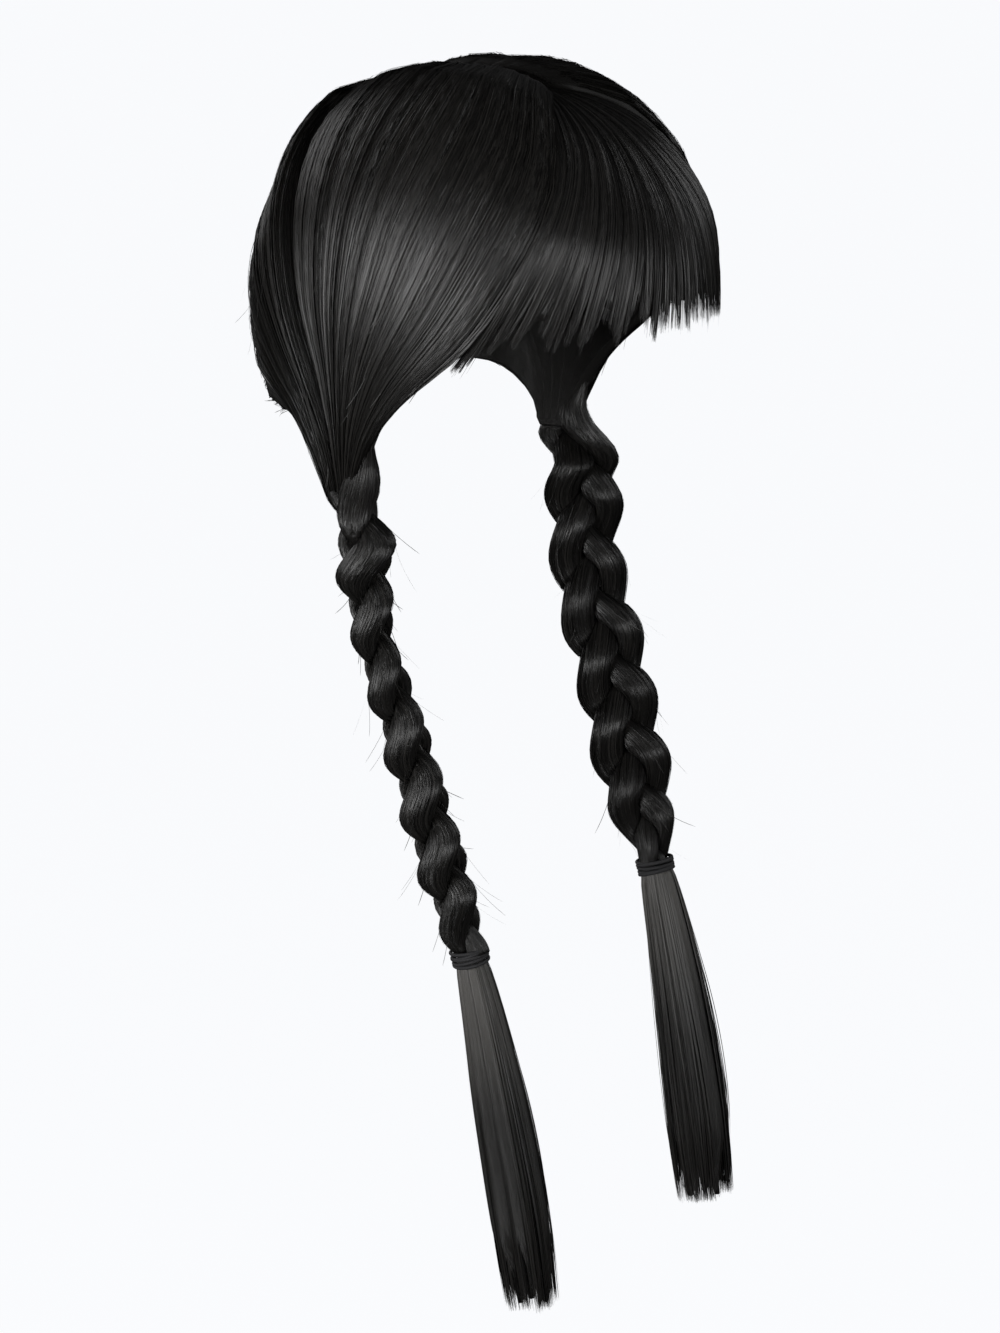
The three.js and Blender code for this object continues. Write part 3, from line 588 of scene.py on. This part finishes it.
def fringe_piece(material):
    """The fringe: its shell, and hairs that gather in wisps and locks at the cut."""
    parts = Parts(False)
    draw = np.random.default_rng(SEED + FRINGE_SEED)
    columns, rows = 161, 24
    u = np.linspace(-1, 1, columns)[None, :]
    v = np.linspace(0, 1, rows)[:, None]
    u_all, v_all = np.broadcast_arrays(u, v)
    reach = SHELL_LOCKS * np.interp(u_all, FRINGE_PLACES, FRINGE_REACHES) + SHELL_END
    under = np.broadcast_to(float(UNDERSIDE), u_all.shape)
    outer = fringe_point(u_all, v_all, reach, fringe_top(u_all, v_all))
    inner = fringe_point(u_all, v_all, reach, under)
    add_shell(parts, outer, inner, (u_all + 1) / 2, v_all)

    hairs, steps = 3000, FRINGE_STEPS
    at = draw.uniform(-0.995, 0.995, (hairs, 1))
    begin = draw.uniform(0, 0.08, (hairs, 1))
    v = mix(begin, 1.0, np.linspace(0, 1, steps))
    wisp_at = np.sort(draw.uniform(-1, 1, WISPS))
    wisp_long = draw.normal(0, WISP_LENGTH, WISPS)
    wisp = np.abs(at - wisp_at).argmin(axis=1)
    lock = np.abs(at - FRINGE_MIDDLES).argmin(axis=1)
    towards = mix(wisp_at[wisp], FRINGE_MIDDLES[lock], 0.2)[:, None]
    strength = draw.uniform(0.1, 0.9, (hairs, 1))
    u = mix(at, towards, strength * smoothstep(v, 0.7, 1.08))
    u = np.clip(u + draw.normal(0, 0.005, (hairs, 1)) * np.sin(2 * np.pi * v), -0.998, 0.998)
    reach = HAIRS_LOCKS * np.interp(at, FRINGE_PLACES, FRINGE_REACHES) + wisp_long[wisp][:, None]
    reach = reach - np.abs(draw.normal(0, 0.012, (hairs, 1))) + HAIRS_END
    reach = reach + (draw.uniform(0, 1, (hairs, 1)) > 0.97) * draw.uniform(0, 0.03, (hairs, 1))
    lift = fringe_top(u, v) + draw.uniform(-1.0, 0.5, (hairs, 1)) * smoothstep(v, 0, 0.2)
    middles = fringe_point(u, v, reach, lift)
    outs = unit(fringe_point(u, v, reach, lift + 1) - middles)
    widths = hair_widths(hairs, steps, FRINGE_HAIR_WIDTH, draw)
    add_hairs(parts, middles, outs, widths, (u + 1) / 2, v, draw.uniform(0, 1, hairs), draw)
    parts.build("fringe_hair", material, "hair", "fringe")


# Plaits

STRAND_CLEARANCE, STRAND_STRAYS, LEAD_THINNESS = 0.15, 44, 0.35
STRAND_STREAK_LENGTH, STRAND_TEXTURE_LENGTH = 60, 100
THIRD = 120  # degrees of the plait's turn from one strand to the next
# A tuft of loose hairs on the near plait: on which strand, how far along, at what angle, how many
TUFT_STRAND, TUFT_ALONG, TUFT_ANGLE, TUFT_HAIRS = 1, 34, 0.3, 14
# Where the first strand comes out of the front section: across it, over how much of its length, above its
# underside, and between which distances along the plait it swings clear
TUCK_PLACE, TUCK_LENGTH, TUCK_LIFT, TUCK_BLEND = 0.16, 170, 5, (-8, 14)


def strand_places(along, plait):
    """Where the three strands' middles are in the plait's section, and how far each reaches."""
    pitch, start = PLAITS[plait]
    share = np.clip(along / TIE_ALONG, 0, 1)
    half_width = PLAIT_WIDTH / 2 * read(PLAIT_SIZE, 1, share)
    half_depth = PLAIT_DEPTH / 2 * read(PLAIT_SIZE, 2, share)
    from_root = smoothstep(along, 0, SETBACK_LENGTH)
    places = []
    for behind in (0, -THIRD, THIRD):
        phase = np.radians(start + behind + THIRD * along / pitch)
        at_edge = np.where(np.sin(phase) > 0, SPREAD_OUTER, SPREAD_INNER)
        back = ROOT_SETBACK * (1 - from_root) if behind else 0 * along
        ahead = 0 * along if behind else LEAD_AHEAD * np.maximum(-along / LEAD_IN, 0)
        places.append((
            0.5 * half_width * np.sin(phase) - back * math.sin(TURN),
            0.5 * half_depth * np.sin(2 * phase) - back * math.cos(TURN) + ahead,
            SPREAD_WIDTH * half_width,
            half_depth * mix(SPREAD_MIDDLE, at_edge, np.sin(phase) ** 2),
        ))
    return places


def strand_point(which, plait, along, angle, grow):
    """Points round a strand, grown by a length, kept clear of the other two strands."""
    places = strand_places(along, plait)
    own_width, own_depth, reach_width, reach_depth = places[which]
    width, depth = reach_width * np.cos(angle), reach_depth * np.sin(angle)
    kept = np.ones_like(width)
    for other in (p for i, p in enumerate(places) if i != which):
        apart_width, apart_depth = other[0] - own_width, other[1] - own_depth
        apart = np.hypot(apart_width, apart_depth)
        facing = (width * apart_width + depth * apart_depth) / apart
        limit = (apart / 2 - STRAND_CLEARANCE) / np.maximum(facing, 1e-6)
        kept = np.where(facing > 0, np.minimum(kept, limit), kept)
    thin = np.where(along < 0, mix(LEAD_THINNESS, 1, 1 + along / LEAD_IN), 1)
    kept = kept * thin + grow / np.hypot(width, depth)
    point = on_route(along, own_width + width * kept, own_depth + depth * kept)
    if which == 0:
        tucked = section_point(SECTIONS[0], np.full(along.shape, TUCK_PLACE), 1 + along / TUCK_LENGTH,
                               UNDERSIDE + TUCK_LIFT)
        shift = tucked - on_route(along, own_width, own_depth)
        point = point + shift * (1 - smoothstep(along, *TUCK_BLEND))[..., None]
    return point


def strand_streaks(angle, along, seed):
    return streaks(angle / (2 * np.pi) % 1, along / STRAND_STREAK_LENGTH, seed, STRAND_STREAKS)


def strand_piece(which, label, material):
    """A strand of a plait: a fluted tube, its hairs, and loose hairs that leave it."""
    parts = Parts(label == "right")
    seed = STRAND_SEED + which + 10 * (label == "right")
    draw = np.random.default_rng(SEED + seed)
    begin = -float(LEAD_IN) if which == 0 else -4.0
    sides, rows = 36, 130
    along = np.linspace(begin, TIE_ALONG - GAP, rows)[:, None]
    angle = np.linspace(0, 2 * np.pi, sides, endpoint=False)[None, :]
    along_all, angle_all = np.broadcast_arrays(along, angle)
    rings = strand_point(which, label, along_all, angle_all, strand_streaks(angle_all, along_all, seed))
    add_tube(parts, rings, angle_all / (2 * np.pi), along_all / STRAND_TEXTURE_LENGTH)

    hairs, steps = 170, STRAND_STEPS
    at = draw.uniform(0, 2 * np.pi, (hairs, 1))
    first = begin + 30 * draw.uniform(0, 1, (hairs, 1)) ** 3
    last = draw.uniform(TIE_ALONG - 40, TIE_ALONG, (hairs, 1))
    along = mix(first, last, np.linspace(0, 1, steps))
    angle = at + draw.normal(0, 0.12, (hairs, 1)) * np.sin(along / draw.uniform(12, 30, (hairs, 1)))
    grow = draw.uniform(-0.1, 0.45, (hairs, 1)) + strand_streaks(angle, along, seed)
    middles = strand_point(which, label, along, angle, grow)
    outs = unit(strand_point(which, label, along, angle, grow + 1) - middles)
    widths = hair_widths(hairs, steps, HAIR_WIDTH, draw)
    u, v = angle / (2 * np.pi), along / STRAND_TEXTURE_LENGTH
    add_hairs(parts, middles, outs, widths, u, v, draw.uniform(0, 1, hairs), draw)

    count = STRAND_STRAYS
    along, angle = draw.uniform(0, TIE_ALONG - 10, count), draw.uniform(0, 2 * np.pi, count)
    if label == "right" and which == TUFT_STRAND:
        along = np.concatenate([along, draw.normal(TUFT_ALONG, 1.5, TUFT_HAIRS)])
        angle = np.concatenate([angle, draw.normal(TUFT_ANGLE, 0.25, TUFT_HAIRS)])
        count += TUFT_HAIRS
    starts = strand_point(which, label, along, angle, np.zeros(count))
    ahead = unit(strand_point(which, label, along + 1, angle, np.zeros(count)) - starts)
    outs = unit(strand_point(which, label, along, angle, np.ones(count)) - starts)
    lengths = draw.uniform(8, 22, count)
    lifts = 0.6 + 7 * draw.uniform(0, 1, count) ** 2
    add_strays(parts, starts, ahead, outs, lengths, lifts, draw)
    letter = "abc"[which]
    parts.build(f"braid_{label}_{letter}_hair", material, "braid_hair", f"braid_{label}_{letter}")


# Ties and tails


def tie_piece(label, material):
    """Turns of thin elastic round the plait's end, each a little slanted."""
    parts = Parts(label == "right")
    draw = np.random.default_rng(SEED + TIE_SEED + (label == "right"))
    turns, thick, filled, around, section = 5, 0.8, 0.76, 64, 12
    angle = np.linspace(0, 2 * np.pi, around, endpoint=False)[:, None]
    tube = np.linspace(0, 2 * np.pi, section, endpoint=False)[None, :]
    for i in range(turns):
        height = TIE_HEIGHT * (i / (turns - 1) - 0.5) * filled
        slant, lean = draw.uniform(0.3, 0.9), draw.uniform(0, 2 * np.pi)
        out = draw.uniform(0, 0.25) + thick
        reach = out + thick * np.cos(tube)
        along = TIE_ALONG + height + slant * np.sin(angle + lean) + thick * np.sin(tube)
        width, depth = (TIE_WIDTH / 2 + reach) * np.cos(angle), (TIE_DEPTH / 2 + reach) * np.sin(angle)
        rings = on_route(along, width, depth)
        turned = np.concatenate([rings, rings[:1]])
        u, v = np.broadcast_arrays(tube / 6, np.linspace(0, 8, around + 1)[:, None])
        parts.add(turned, grid_faces(around + 1, section, wrap=True), np.stack([u, v], -1), 0.5)
    parts.build(f"tie_{label}_elastic", material, "elastic", f"tie_{label}")


# Of each lock of a tail, as shares: how far off the middle it is and its own size, of the tail's size, and
# the size of its tip, of its own
LOCK_OFF, LOCK_SIZE, LOCK_TIP = 0.58, 0.4, 0.25
TAIL_TEXTURE_LENGTH = 1.6


def tail_point(share, width, depth):
    """Points in a tail, at a share of its length and at shares of its half width and depth."""
    half_width = TAIL_WIDTH / 2 * read(TAIL_SIZE, 1, share)
    half_depth = TAIL_DEPTH / 2 * read(TAIL_SIZE, 2, share)
    along = TIE_ALONG + GAP / 2 + share * (TAIL_LENGTH - GAP)
    return on_route(along, half_width * width, half_depth * depth)


def tail_piece(label, material):
    """A tail: a bundle of straight locks, and hairs in clumps, cut at nearly one length."""
    parts = Parts(label == "right")
    seed = TAIL_SEED + (label == "right")
    draw = np.random.default_rng(SEED + seed)
    sides, rows = 16, 34
    angle = np.linspace(0, 2 * np.pi, sides, endpoint=False)[None, :]
    for place, off, length in TAIL_LOCKS:
        s = np.linspace(0, 1, rows)[:, None]
        taper = mix(1, LOCK_TIP, smoothstep(s, 0.8, 0.97))
        place = math.radians(place)
        rough = 1 + streaks(angle / (2 * np.pi), s * 2, seed + int(place * 9), TAIL_STREAKS)
        width = LOCK_OFF * off * math.cos(place) + LOCK_SIZE * taper * rough * np.cos(angle)
        depth = LOCK_OFF * off * math.sin(place) + LOCK_SIZE * taper * rough * np.sin(angle)
        share = np.broadcast_to(s * (length - 0.02), width.shape)
        u, v = np.broadcast_arrays(angle / (2 * np.pi), s * TAIL_TEXTURE_LENGTH)
        add_tube(parts, tail_point(share, width, depth), u, v)

    hairs, steps, clumps = 1300, HAIR_STEPS, 44
    lean = draw.uniform(0, 2 * np.pi, (clumps, 1))
    off = draw.uniform(0.1, 1, (clumps, 1)) ** 0.35
    which = draw.integers(0, clumps, hairs)
    jitter = draw.normal(0, 0.1, (hairs, 1)), draw.normal(0, 0.1, (hairs, 1))
    width = off[which] * np.cos(lean[which]) + jitter[0]
    depth = off[which] * np.sin(lean[which]) + jitter[1]
    far = np.maximum(np.hypot(width, depth), 1)
    width, depth = width / far, depth / far
    clump_length = draw.uniform(-0.012, 0.0, (clumps, 1))[which]
    length = 0.985 + clump_length - np.abs(draw.normal(0, 0.012, (hairs, 1)))
    stray = draw.uniform(0, 1, (hairs, 1)) > 0.97
    length = length - stray * draw.uniform(0, 0.25, (hairs, 1))
    share = length * np.linspace(0, 1, steps)
    wave = draw.uniform(0, 2 * np.pi, (clumps, 1))[which] + draw.normal(0, 0.5, (hairs, 1))
    sway = 0.06 * share * np.sin(5 * share + wave)
    puff = 1 + stray * 0.18 * np.sin(np.pi * share)
    middles = tail_point(share, (width + sway) * puff, (depth + 0.7 * sway) * puff)
    outs = unit(tail_point(share, width * 1.1, depth * 1.1) - tail_point(share, width * 0.9, depth * 0.9))
    widths = hair_widths(hairs, steps, HAIR_WIDTH, draw, root=0.7)
    u = np.broadcast_to(draw.uniform(0, 1, (hairs, 1)), share.shape)
    v = share * TAIL_TEXTURE_LENGTH
    add_hairs(parts, middles, outs, widths, u, v, draw.uniform(0, 1, hairs), draw, roll=35)
    parts.build(f"tail_{label}_hair", material, "tail_hair", f"tail_{label}")


# Cap


def cap_piece(material):
    """The net cap: smooth outside, rows of sewn weft inside, and a bound rim."""
    parts = Parts(False)
    rows, columns, wefts = 96, 96, 12
    weft_depth, rim_depth = 0.45, 0.25
    turn = np.linspace(-180, 180, columns, endpoint=False)[None, :]
    share = np.linspace(0, 1, rows)[:, None]
    drop = share * read(CAP_RIM, 1, np.abs(turn))
    row = np.abs(np.sin(np.pi * share * wefts)) ** 8 * smoothstep(share, 0.1, 0.2)
    bound = smoothstep(share, 0.965, 0.972)
    inside = weft_depth * (1 - np.maximum(row, bound)) * np.ones_like(turn)
    u, v = np.broadcast_arrays((turn + 180) / 360, share)
    grid = grid_faces(rows, columns, wrap=True)
    outer = on_head(turn, drop, CAP_WALL + rim_depth * bound)
    inner = on_head(turn, drop, inside)
    last = (rows - 1) * columns + np.arange(columns)
    after = (rows - 1) * columns + (np.arange(columns) + 1) % columns
    size = rows * columns
    rim = np.stack([last, last + size, after + size, after], -1)
    places = np.stack([u * 60, v * 30], -1).reshape(-1, 2)
    parts.add(np.concatenate([outer.reshape(-1, 3), inner.reshape(-1, 3)]),
              np.vstack([grid, grid[:, ::-1] + size, rim]), np.concatenate([places, places]), 0.5)
    parts.build("cap_net", material, "cap_net", "cap")


# Materials


def material_of(name):
    """A new material, its nodes and links, and its shader."""
    material = bpy.data.materials.new(name)
    material.use_nodes = True
    nodes, links = material.node_tree.nodes, material.node_tree.links
    return material, nodes, links, nodes["Principled BSDF"]


def joined(nodes, links, kind, inputs, **settings):
    """A node with its settings, and its inputs linked or set."""
    node = nodes.new(kind)
    for key, value in settings.items():
        setattr(node, key, value)
    for key, value in inputs.items():
        if isinstance(value, bpy.types.NodeSocket):
            links.new(value, node.inputs[key])
        else:
            node.inputs[key].default_value = value
    return node


# DARK and LIGHT are the hair's own tones; the third colour is a painted sheen, a lighter grey laid into the
# top of each tail where it leaves its tie.
DARK, LIGHT, PAINTED_SHEEN_GREY = (0.002, 0.002, 0.002, 1), (0.017, 0.016, 0.0148, 1), (0.12, 0.115, 0.108, 1)


def hair_material(name, rough, shine, painted_sheen=0.0, dull=1.0):
    """Combed fibre: fine streaks along each hair, a highlight drawn out across the hairs. Where it starts,
    hair is painted a lighter grey, a painted sheen, by the share given for the painted sheen, as where a tail
    leaves its tie; it shines by the share that is dull, as at the crown."""
    material, nodes, links, shader = material_of(name)
    place = joined(nodes, links, "ShaderNodeUVMap", {}, uv_map="hair").outputs[0]
    tone = joined(nodes, links, "ShaderNodeAttribute", {}, attribute_name="tone").outputs["Fac"]
    layers = []
    for across, along in ((420, 2.5), (90, 1.2)):
        scaled = joined(nodes, links, "ShaderNodeVectorMath", {
            0: place, 1: (across, along, 1),
        }, operation="MULTIPLY")
        noise = joined(nodes, links, "ShaderNodeTexNoise", {
            "Vector": scaled.outputs[0], "Scale": 1.0, "Detail": 2.0,
        })
        layers.append(noise.outputs["Fac"])
    fine, coarse = layers
    streak = joined(nodes, links, "ShaderNodeMath", {0: fine, 1: coarse}, operation="MULTIPLY").outputs[0]
    both = joined(nodes, links, "ShaderNodeMath", {0: streak, 1: tone}, operation="ADD").outputs[0]
    ramp = joined(nodes, links, "ShaderNodeMapRange", {"Value": both, "From Min": 0.1, "From Max": 1.2})
    colour = joined(nodes, links, "ShaderNodeMix", {
        0: ramp.outputs[0], 6: DARK, 7: LIGHT,
    }, data_type="RGBA")
    along = joined(nodes, links, "ShaderNodeSeparateXYZ", {0: place}).outputs["Y"]
    # Painted sheen: from where the hair starts to 0.8 along it, the colour is mixed towards the lighter grey
    # by the given share.
    sheen_share = joined(nodes, links, "ShaderNodeMapRange", {
        "Value": along, "From Max": 0.8, "To Min": painted_sheen, "To Max": 0.0,
    }, interpolation_type="SMOOTHSTEP")
    with_sheen = joined(nodes, links, "ShaderNodeMix", {
        0: sheen_share.outputs[0], 6: colour.outputs[2], 7: PAINTED_SHEEN_GREY,
    }, data_type="RGBA")
    links.new(with_sheen.outputs[2], shader.inputs["Base Color"])
    roughness = joined(nodes, links, "ShaderNodeMapRange", {
        "Value": coarse, "From Min": 0.3, "From Max": 0.7, "To Min": rough - 0.06, "To Max": rough + 0.08,
    })
    links.new(roughness.outputs[0], shader.inputs["Roughness"])
    bump = joined(nodes, links, "ShaderNodeBump", {"Height": fine, "Strength": 0.5, "Distance": 0.0006})
    links.new(bump.outputs[0], shader.inputs["Normal"])
    tangent = joined(nodes, links, "ShaderNodeTangent", {}, direction_type="UV_MAP", uv_map="hair")
    links.new(tangent.outputs[0], shader.inputs["Tangent"])
    shader.inputs["Anisotropic"].default_value = 0.8
    shining = joined(nodes, links, "ShaderNodeMapRange", {
        "Value": along, "From Min": 0.08, "From Max": 0.5, "To Min": shine * dull, "To Max": shine,
    }, interpolation_type="SMOOTHSTEP")
    links.new(shining.outputs[0], shader.inputs["Specular IOR Level"])
    return material


def net_material():
    """Black stretch net: a fine diamond weave pressed into matte cloth."""
    material, nodes, links, shader = material_of("cap_net")
    place = joined(nodes, links, "ShaderNodeUVMap", {}, uv_map="hair").outputs[0]
    waves = []
    for turn in (math.pi / 4, -math.pi / 4):
        turned = joined(nodes, links, "ShaderNodeMapping", {"Vector": place, "Rotation": (0, 0, turn)})
        wave = joined(nodes, links, "ShaderNodeTexWave", {"Vector": turned.outputs[0], "Scale": 3.0})
        waves.append(wave.outputs["Fac"])
    weave = joined(nodes, links, "ShaderNodeMath", {0: waves[0], 1: waves[1]}, operation="MAXIMUM").outputs[0]
    colour = joined(nodes, links, "ShaderNodeMix", {
        0: weave, 6: (0.006, 0.006, 0.007, 1), 7: (0.03, 0.03, 0.033, 1),
    }, data_type="RGBA")
    links.new(colour.outputs[2], shader.inputs["Base Color"])
    bump = joined(nodes, links, "ShaderNodeBump", {"Height": weave, "Strength": 0.6, "Distance": 0.0004})
    links.new(bump.outputs[0], shader.inputs["Normal"])
    shader.inputs["Roughness"].default_value = 0.85
    return material


def elastic_material():
    """Thin covered elastic: fine ribs round each turn."""
    material, nodes, links, shader = material_of("elastic")
    place = joined(nodes, links, "ShaderNodeUVMap", {}, uv_map="hair").outputs[0]
    wave = joined(nodes, links, "ShaderNodeTexWave", {"Vector": place, "Scale": 6.0, "Distortion": 0.6},
                  bands_direction="Y")
    colour = joined(nodes, links, "ShaderNodeMix", {
        0: wave.outputs["Fac"], 6: (0.005, 0.005, 0.006, 1), 7: (0.02, 0.02, 0.022, 1),
    }, data_type="RGBA")
    links.new(colour.outputs[2], shader.inputs["Base Color"])
    bump = joined(nodes, links, "ShaderNodeBump", {
        "Height": wave.outputs["Fac"], "Strength": 0.5, "Distance": 0.0002,
    })
    links.new(bump.outputs[0], shader.inputs["Normal"])
    shader.inputs["Roughness"].default_value = 0.7
    return material


def scalp_material():
    """Grey skin-like patch with small pores."""
    material, nodes, links, shader = material_of("scalp_skin")
    place = joined(nodes, links, "ShaderNodeTexCoord", {}).outputs["Object"]
    pores = joined(nodes, links, "ShaderNodeTexVoronoi", {"Vector": place, "Scale": 900.0})
    cloud = joined(nodes, links, "ShaderNodeTexNoise", {"Vector": place, "Scale": 220.0})
    colour = joined(nodes, links, "ShaderNodeMix", {
        0: cloud.outputs["Fac"], 6: (0.09, 0.088, 0.092, 1), 7: (0.16, 0.155, 0.16, 1),
    }, data_type="RGBA")
    links.new(colour.outputs[2], shader.inputs["Base Color"])
    bump = joined(nodes, links, "ShaderNodeBump", {
        "Height": pores.outputs["Distance"], "Strength": 0.3, "Distance": 0.0003,
    })
    links.new(bump.outputs[0], shader.inputs["Normal"])
    shader.inputs["Roughness"].default_value = 0.55
    return material


hair = hair_material("hair", rough=0.38, shine=0.42, dull=0.12)
braid_hair = hair_material("braid_hair", rough=0.38, shine=0.42)
# The tails get a painted sheen: their hair is painted a lighter grey near the ties.
tail_hair = hair_material("tail_hair", rough=0.42, shine=0.42, painted_sheen=0.65)

cap_piece(net_material())
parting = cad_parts["parting"]
parting.data.materials.clear()
parting.data.materials.append(scalp_material())
fringe_piece(hair)
elastic = elastic_material()
for label in ("right", "left"):
    for index, section in enumerate(SECTIONS):
        section_piece(section, label, index + 1 + 10 * (label == "right"), hair)
    for which in range(3):
        strand_piece(which, label, braid_hair)
    tie_piece(label, elastic)
    tail_piece(label, tail_hair)

# Floor, light and camera

FLOOR_BELOW, FLOOR_REACH, FLOOR_GLOW = 1.7, 30.0, 0.97  # the floor is where a standing wearer's would be
WORLD_LIGHT, WORLD_SEEN = 0.1, 0.99
STUDIO_COLOUR = (0.97, 0.98, 1, 1)
CAMERA_TURN, CAMERA_RISE, CAMERA_ROLL = -54.7, 16.4, 0.47
CAMERA_DISTANCE, CAMERA_LENS = 1.679, 101.87
CAMERA_TARGET = Vector((0.00533, -0.00752, -0.258))

# Lights: (name, degrees round from the front, degrees above the horizon, distance, size, power)
LIGHTS = [
    ("key", -104, 9, 2.4, 1.5, 56), ("front", -22, 5, 2.4, 1.1, 26), ("left", 75, 22, 2.6, 1.4, 9),
    ("back", 170, 24, 2.6, 1.4, 16),
]


def direction(turn, rise):
    """From the object towards a place round it: degrees from the front, and above the horizon."""
    t, r = math.radians(turn), math.radians(rise)
    return Vector((math.sin(t) * math.cos(r), -math.cos(t) * math.cos(r), math.sin(r)))


def make_floor():
    """A pale floor that glows for the camera alone, so that it doesn't light the hair."""
    mesh = bpy.data.meshes.new("floor")
    ways = ((-1, -1), (1, -1), (1, 1), (-1, 1))
    corners = [(x * FLOOR_REACH, y * FLOOR_REACH, -FLOOR_BELOW) for x, y in ways]
    mesh.from_pydata(corners, [], [(0, 1, 2, 3)])
    floor = bpy.data.objects.new("floor", mesh)
    bpy.context.scene.collection.objects.link(floor)
    material, nodes, links, shader = material_of("floor")
    cloud = joined(nodes, links, "ShaderNodeTexNoise", {"Scale": 0.6, "Detail": 1.0}).outputs["Fac"]
    colour = joined(nodes, links, "ShaderNodeMix", {
        0: cloud, 6: (0.04, 0.04, 0.041, 1), 7: (0.05, 0.05, 0.051, 1),
    }, data_type="RGBA")
    links.new(colour.outputs[2], shader.inputs["Base Color"])
    shader.inputs["Emission Color"].default_value = STUDIO_COLOUR
    seen = joined(nodes, links, "ShaderNodeLightPath", {}).outputs["Is Camera Ray"]
    glow = joined(nodes, links, "ShaderNodeMath", {0: seen, 1: FLOOR_GLOW}, operation="MULTIPLY").outputs[0]
    links.new(glow, shader.inputs["Emission Strength"])
    shader.inputs["Roughness"].default_value = 1.0
    shader.inputs["Specular IOR Level"].default_value = 0.1
    mesh.materials.append(material)


def make_world():
    """A studio that looks pale, with little light of its own, so that black hair stays black."""
    world = bpy.data.worlds.new("studio")
    world.use_nodes = True
    nodes, links = world.node_tree.nodes, world.node_tree.links
    seen = joined(nodes, links, "ShaderNodeLightPath", {}).outputs["Is Camera Ray"]
    strength = joined(nodes, links, "ShaderNodeMapRange", {
        "Value": seen, "To Min": WORLD_LIGHT, "To Max": WORLD_SEEN,
    })
    links.new(strength.outputs[0], nodes["Background"].inputs["Strength"])
    nodes["Background"].inputs["Color"].default_value = STUDIO_COLOUR
    bpy.context.scene.world = world


def make_light(name, turn, rise, distance, size, power):
    data = bpy.data.lights.new(name, "AREA")
    data.shape = "DISK"
    data.size = size
    data.energy = power
    light = bpy.data.objects.new(name, data)
    light.location = CAMERA_TARGET + direction(turn, rise) * distance
    light.rotation_euler = (CAMERA_TARGET - light.location).to_track_quat("-Z", "Y").to_euler()
    bpy.context.scene.collection.objects.link(light)


def make_camera():
    data = bpy.data.cameras.new("camera")
    data.sensor_width = 36
    data.lens = CAMERA_LENS
    data.clip_end = 200
    camera = bpy.data.objects.new("camera", data)
    back = direction(CAMERA_TURN, CAMERA_RISE)
    right = Vector((0, 0, 1)).cross(back).normalized()
    up = back.cross(right)
    roll = math.radians(CAMERA_ROLL)
    x = right * math.cos(roll) + up * math.sin(roll)
    y = up * math.cos(roll) - right * math.sin(roll)
    place = Matrix((x, y, back)).transposed().to_4x4()
    place.translation = CAMERA_TARGET + back * CAMERA_DISTANCE
    camera.matrix_world = place
    bpy.context.scene.collection.objects.link(camera)
    bpy.context.scene.camera = camera


make_floor()
for light in LIGHTS:
    make_light(*light)
make_world()
make_camera()
bpy.context.scene.view_settings.view_transform = "Standard"
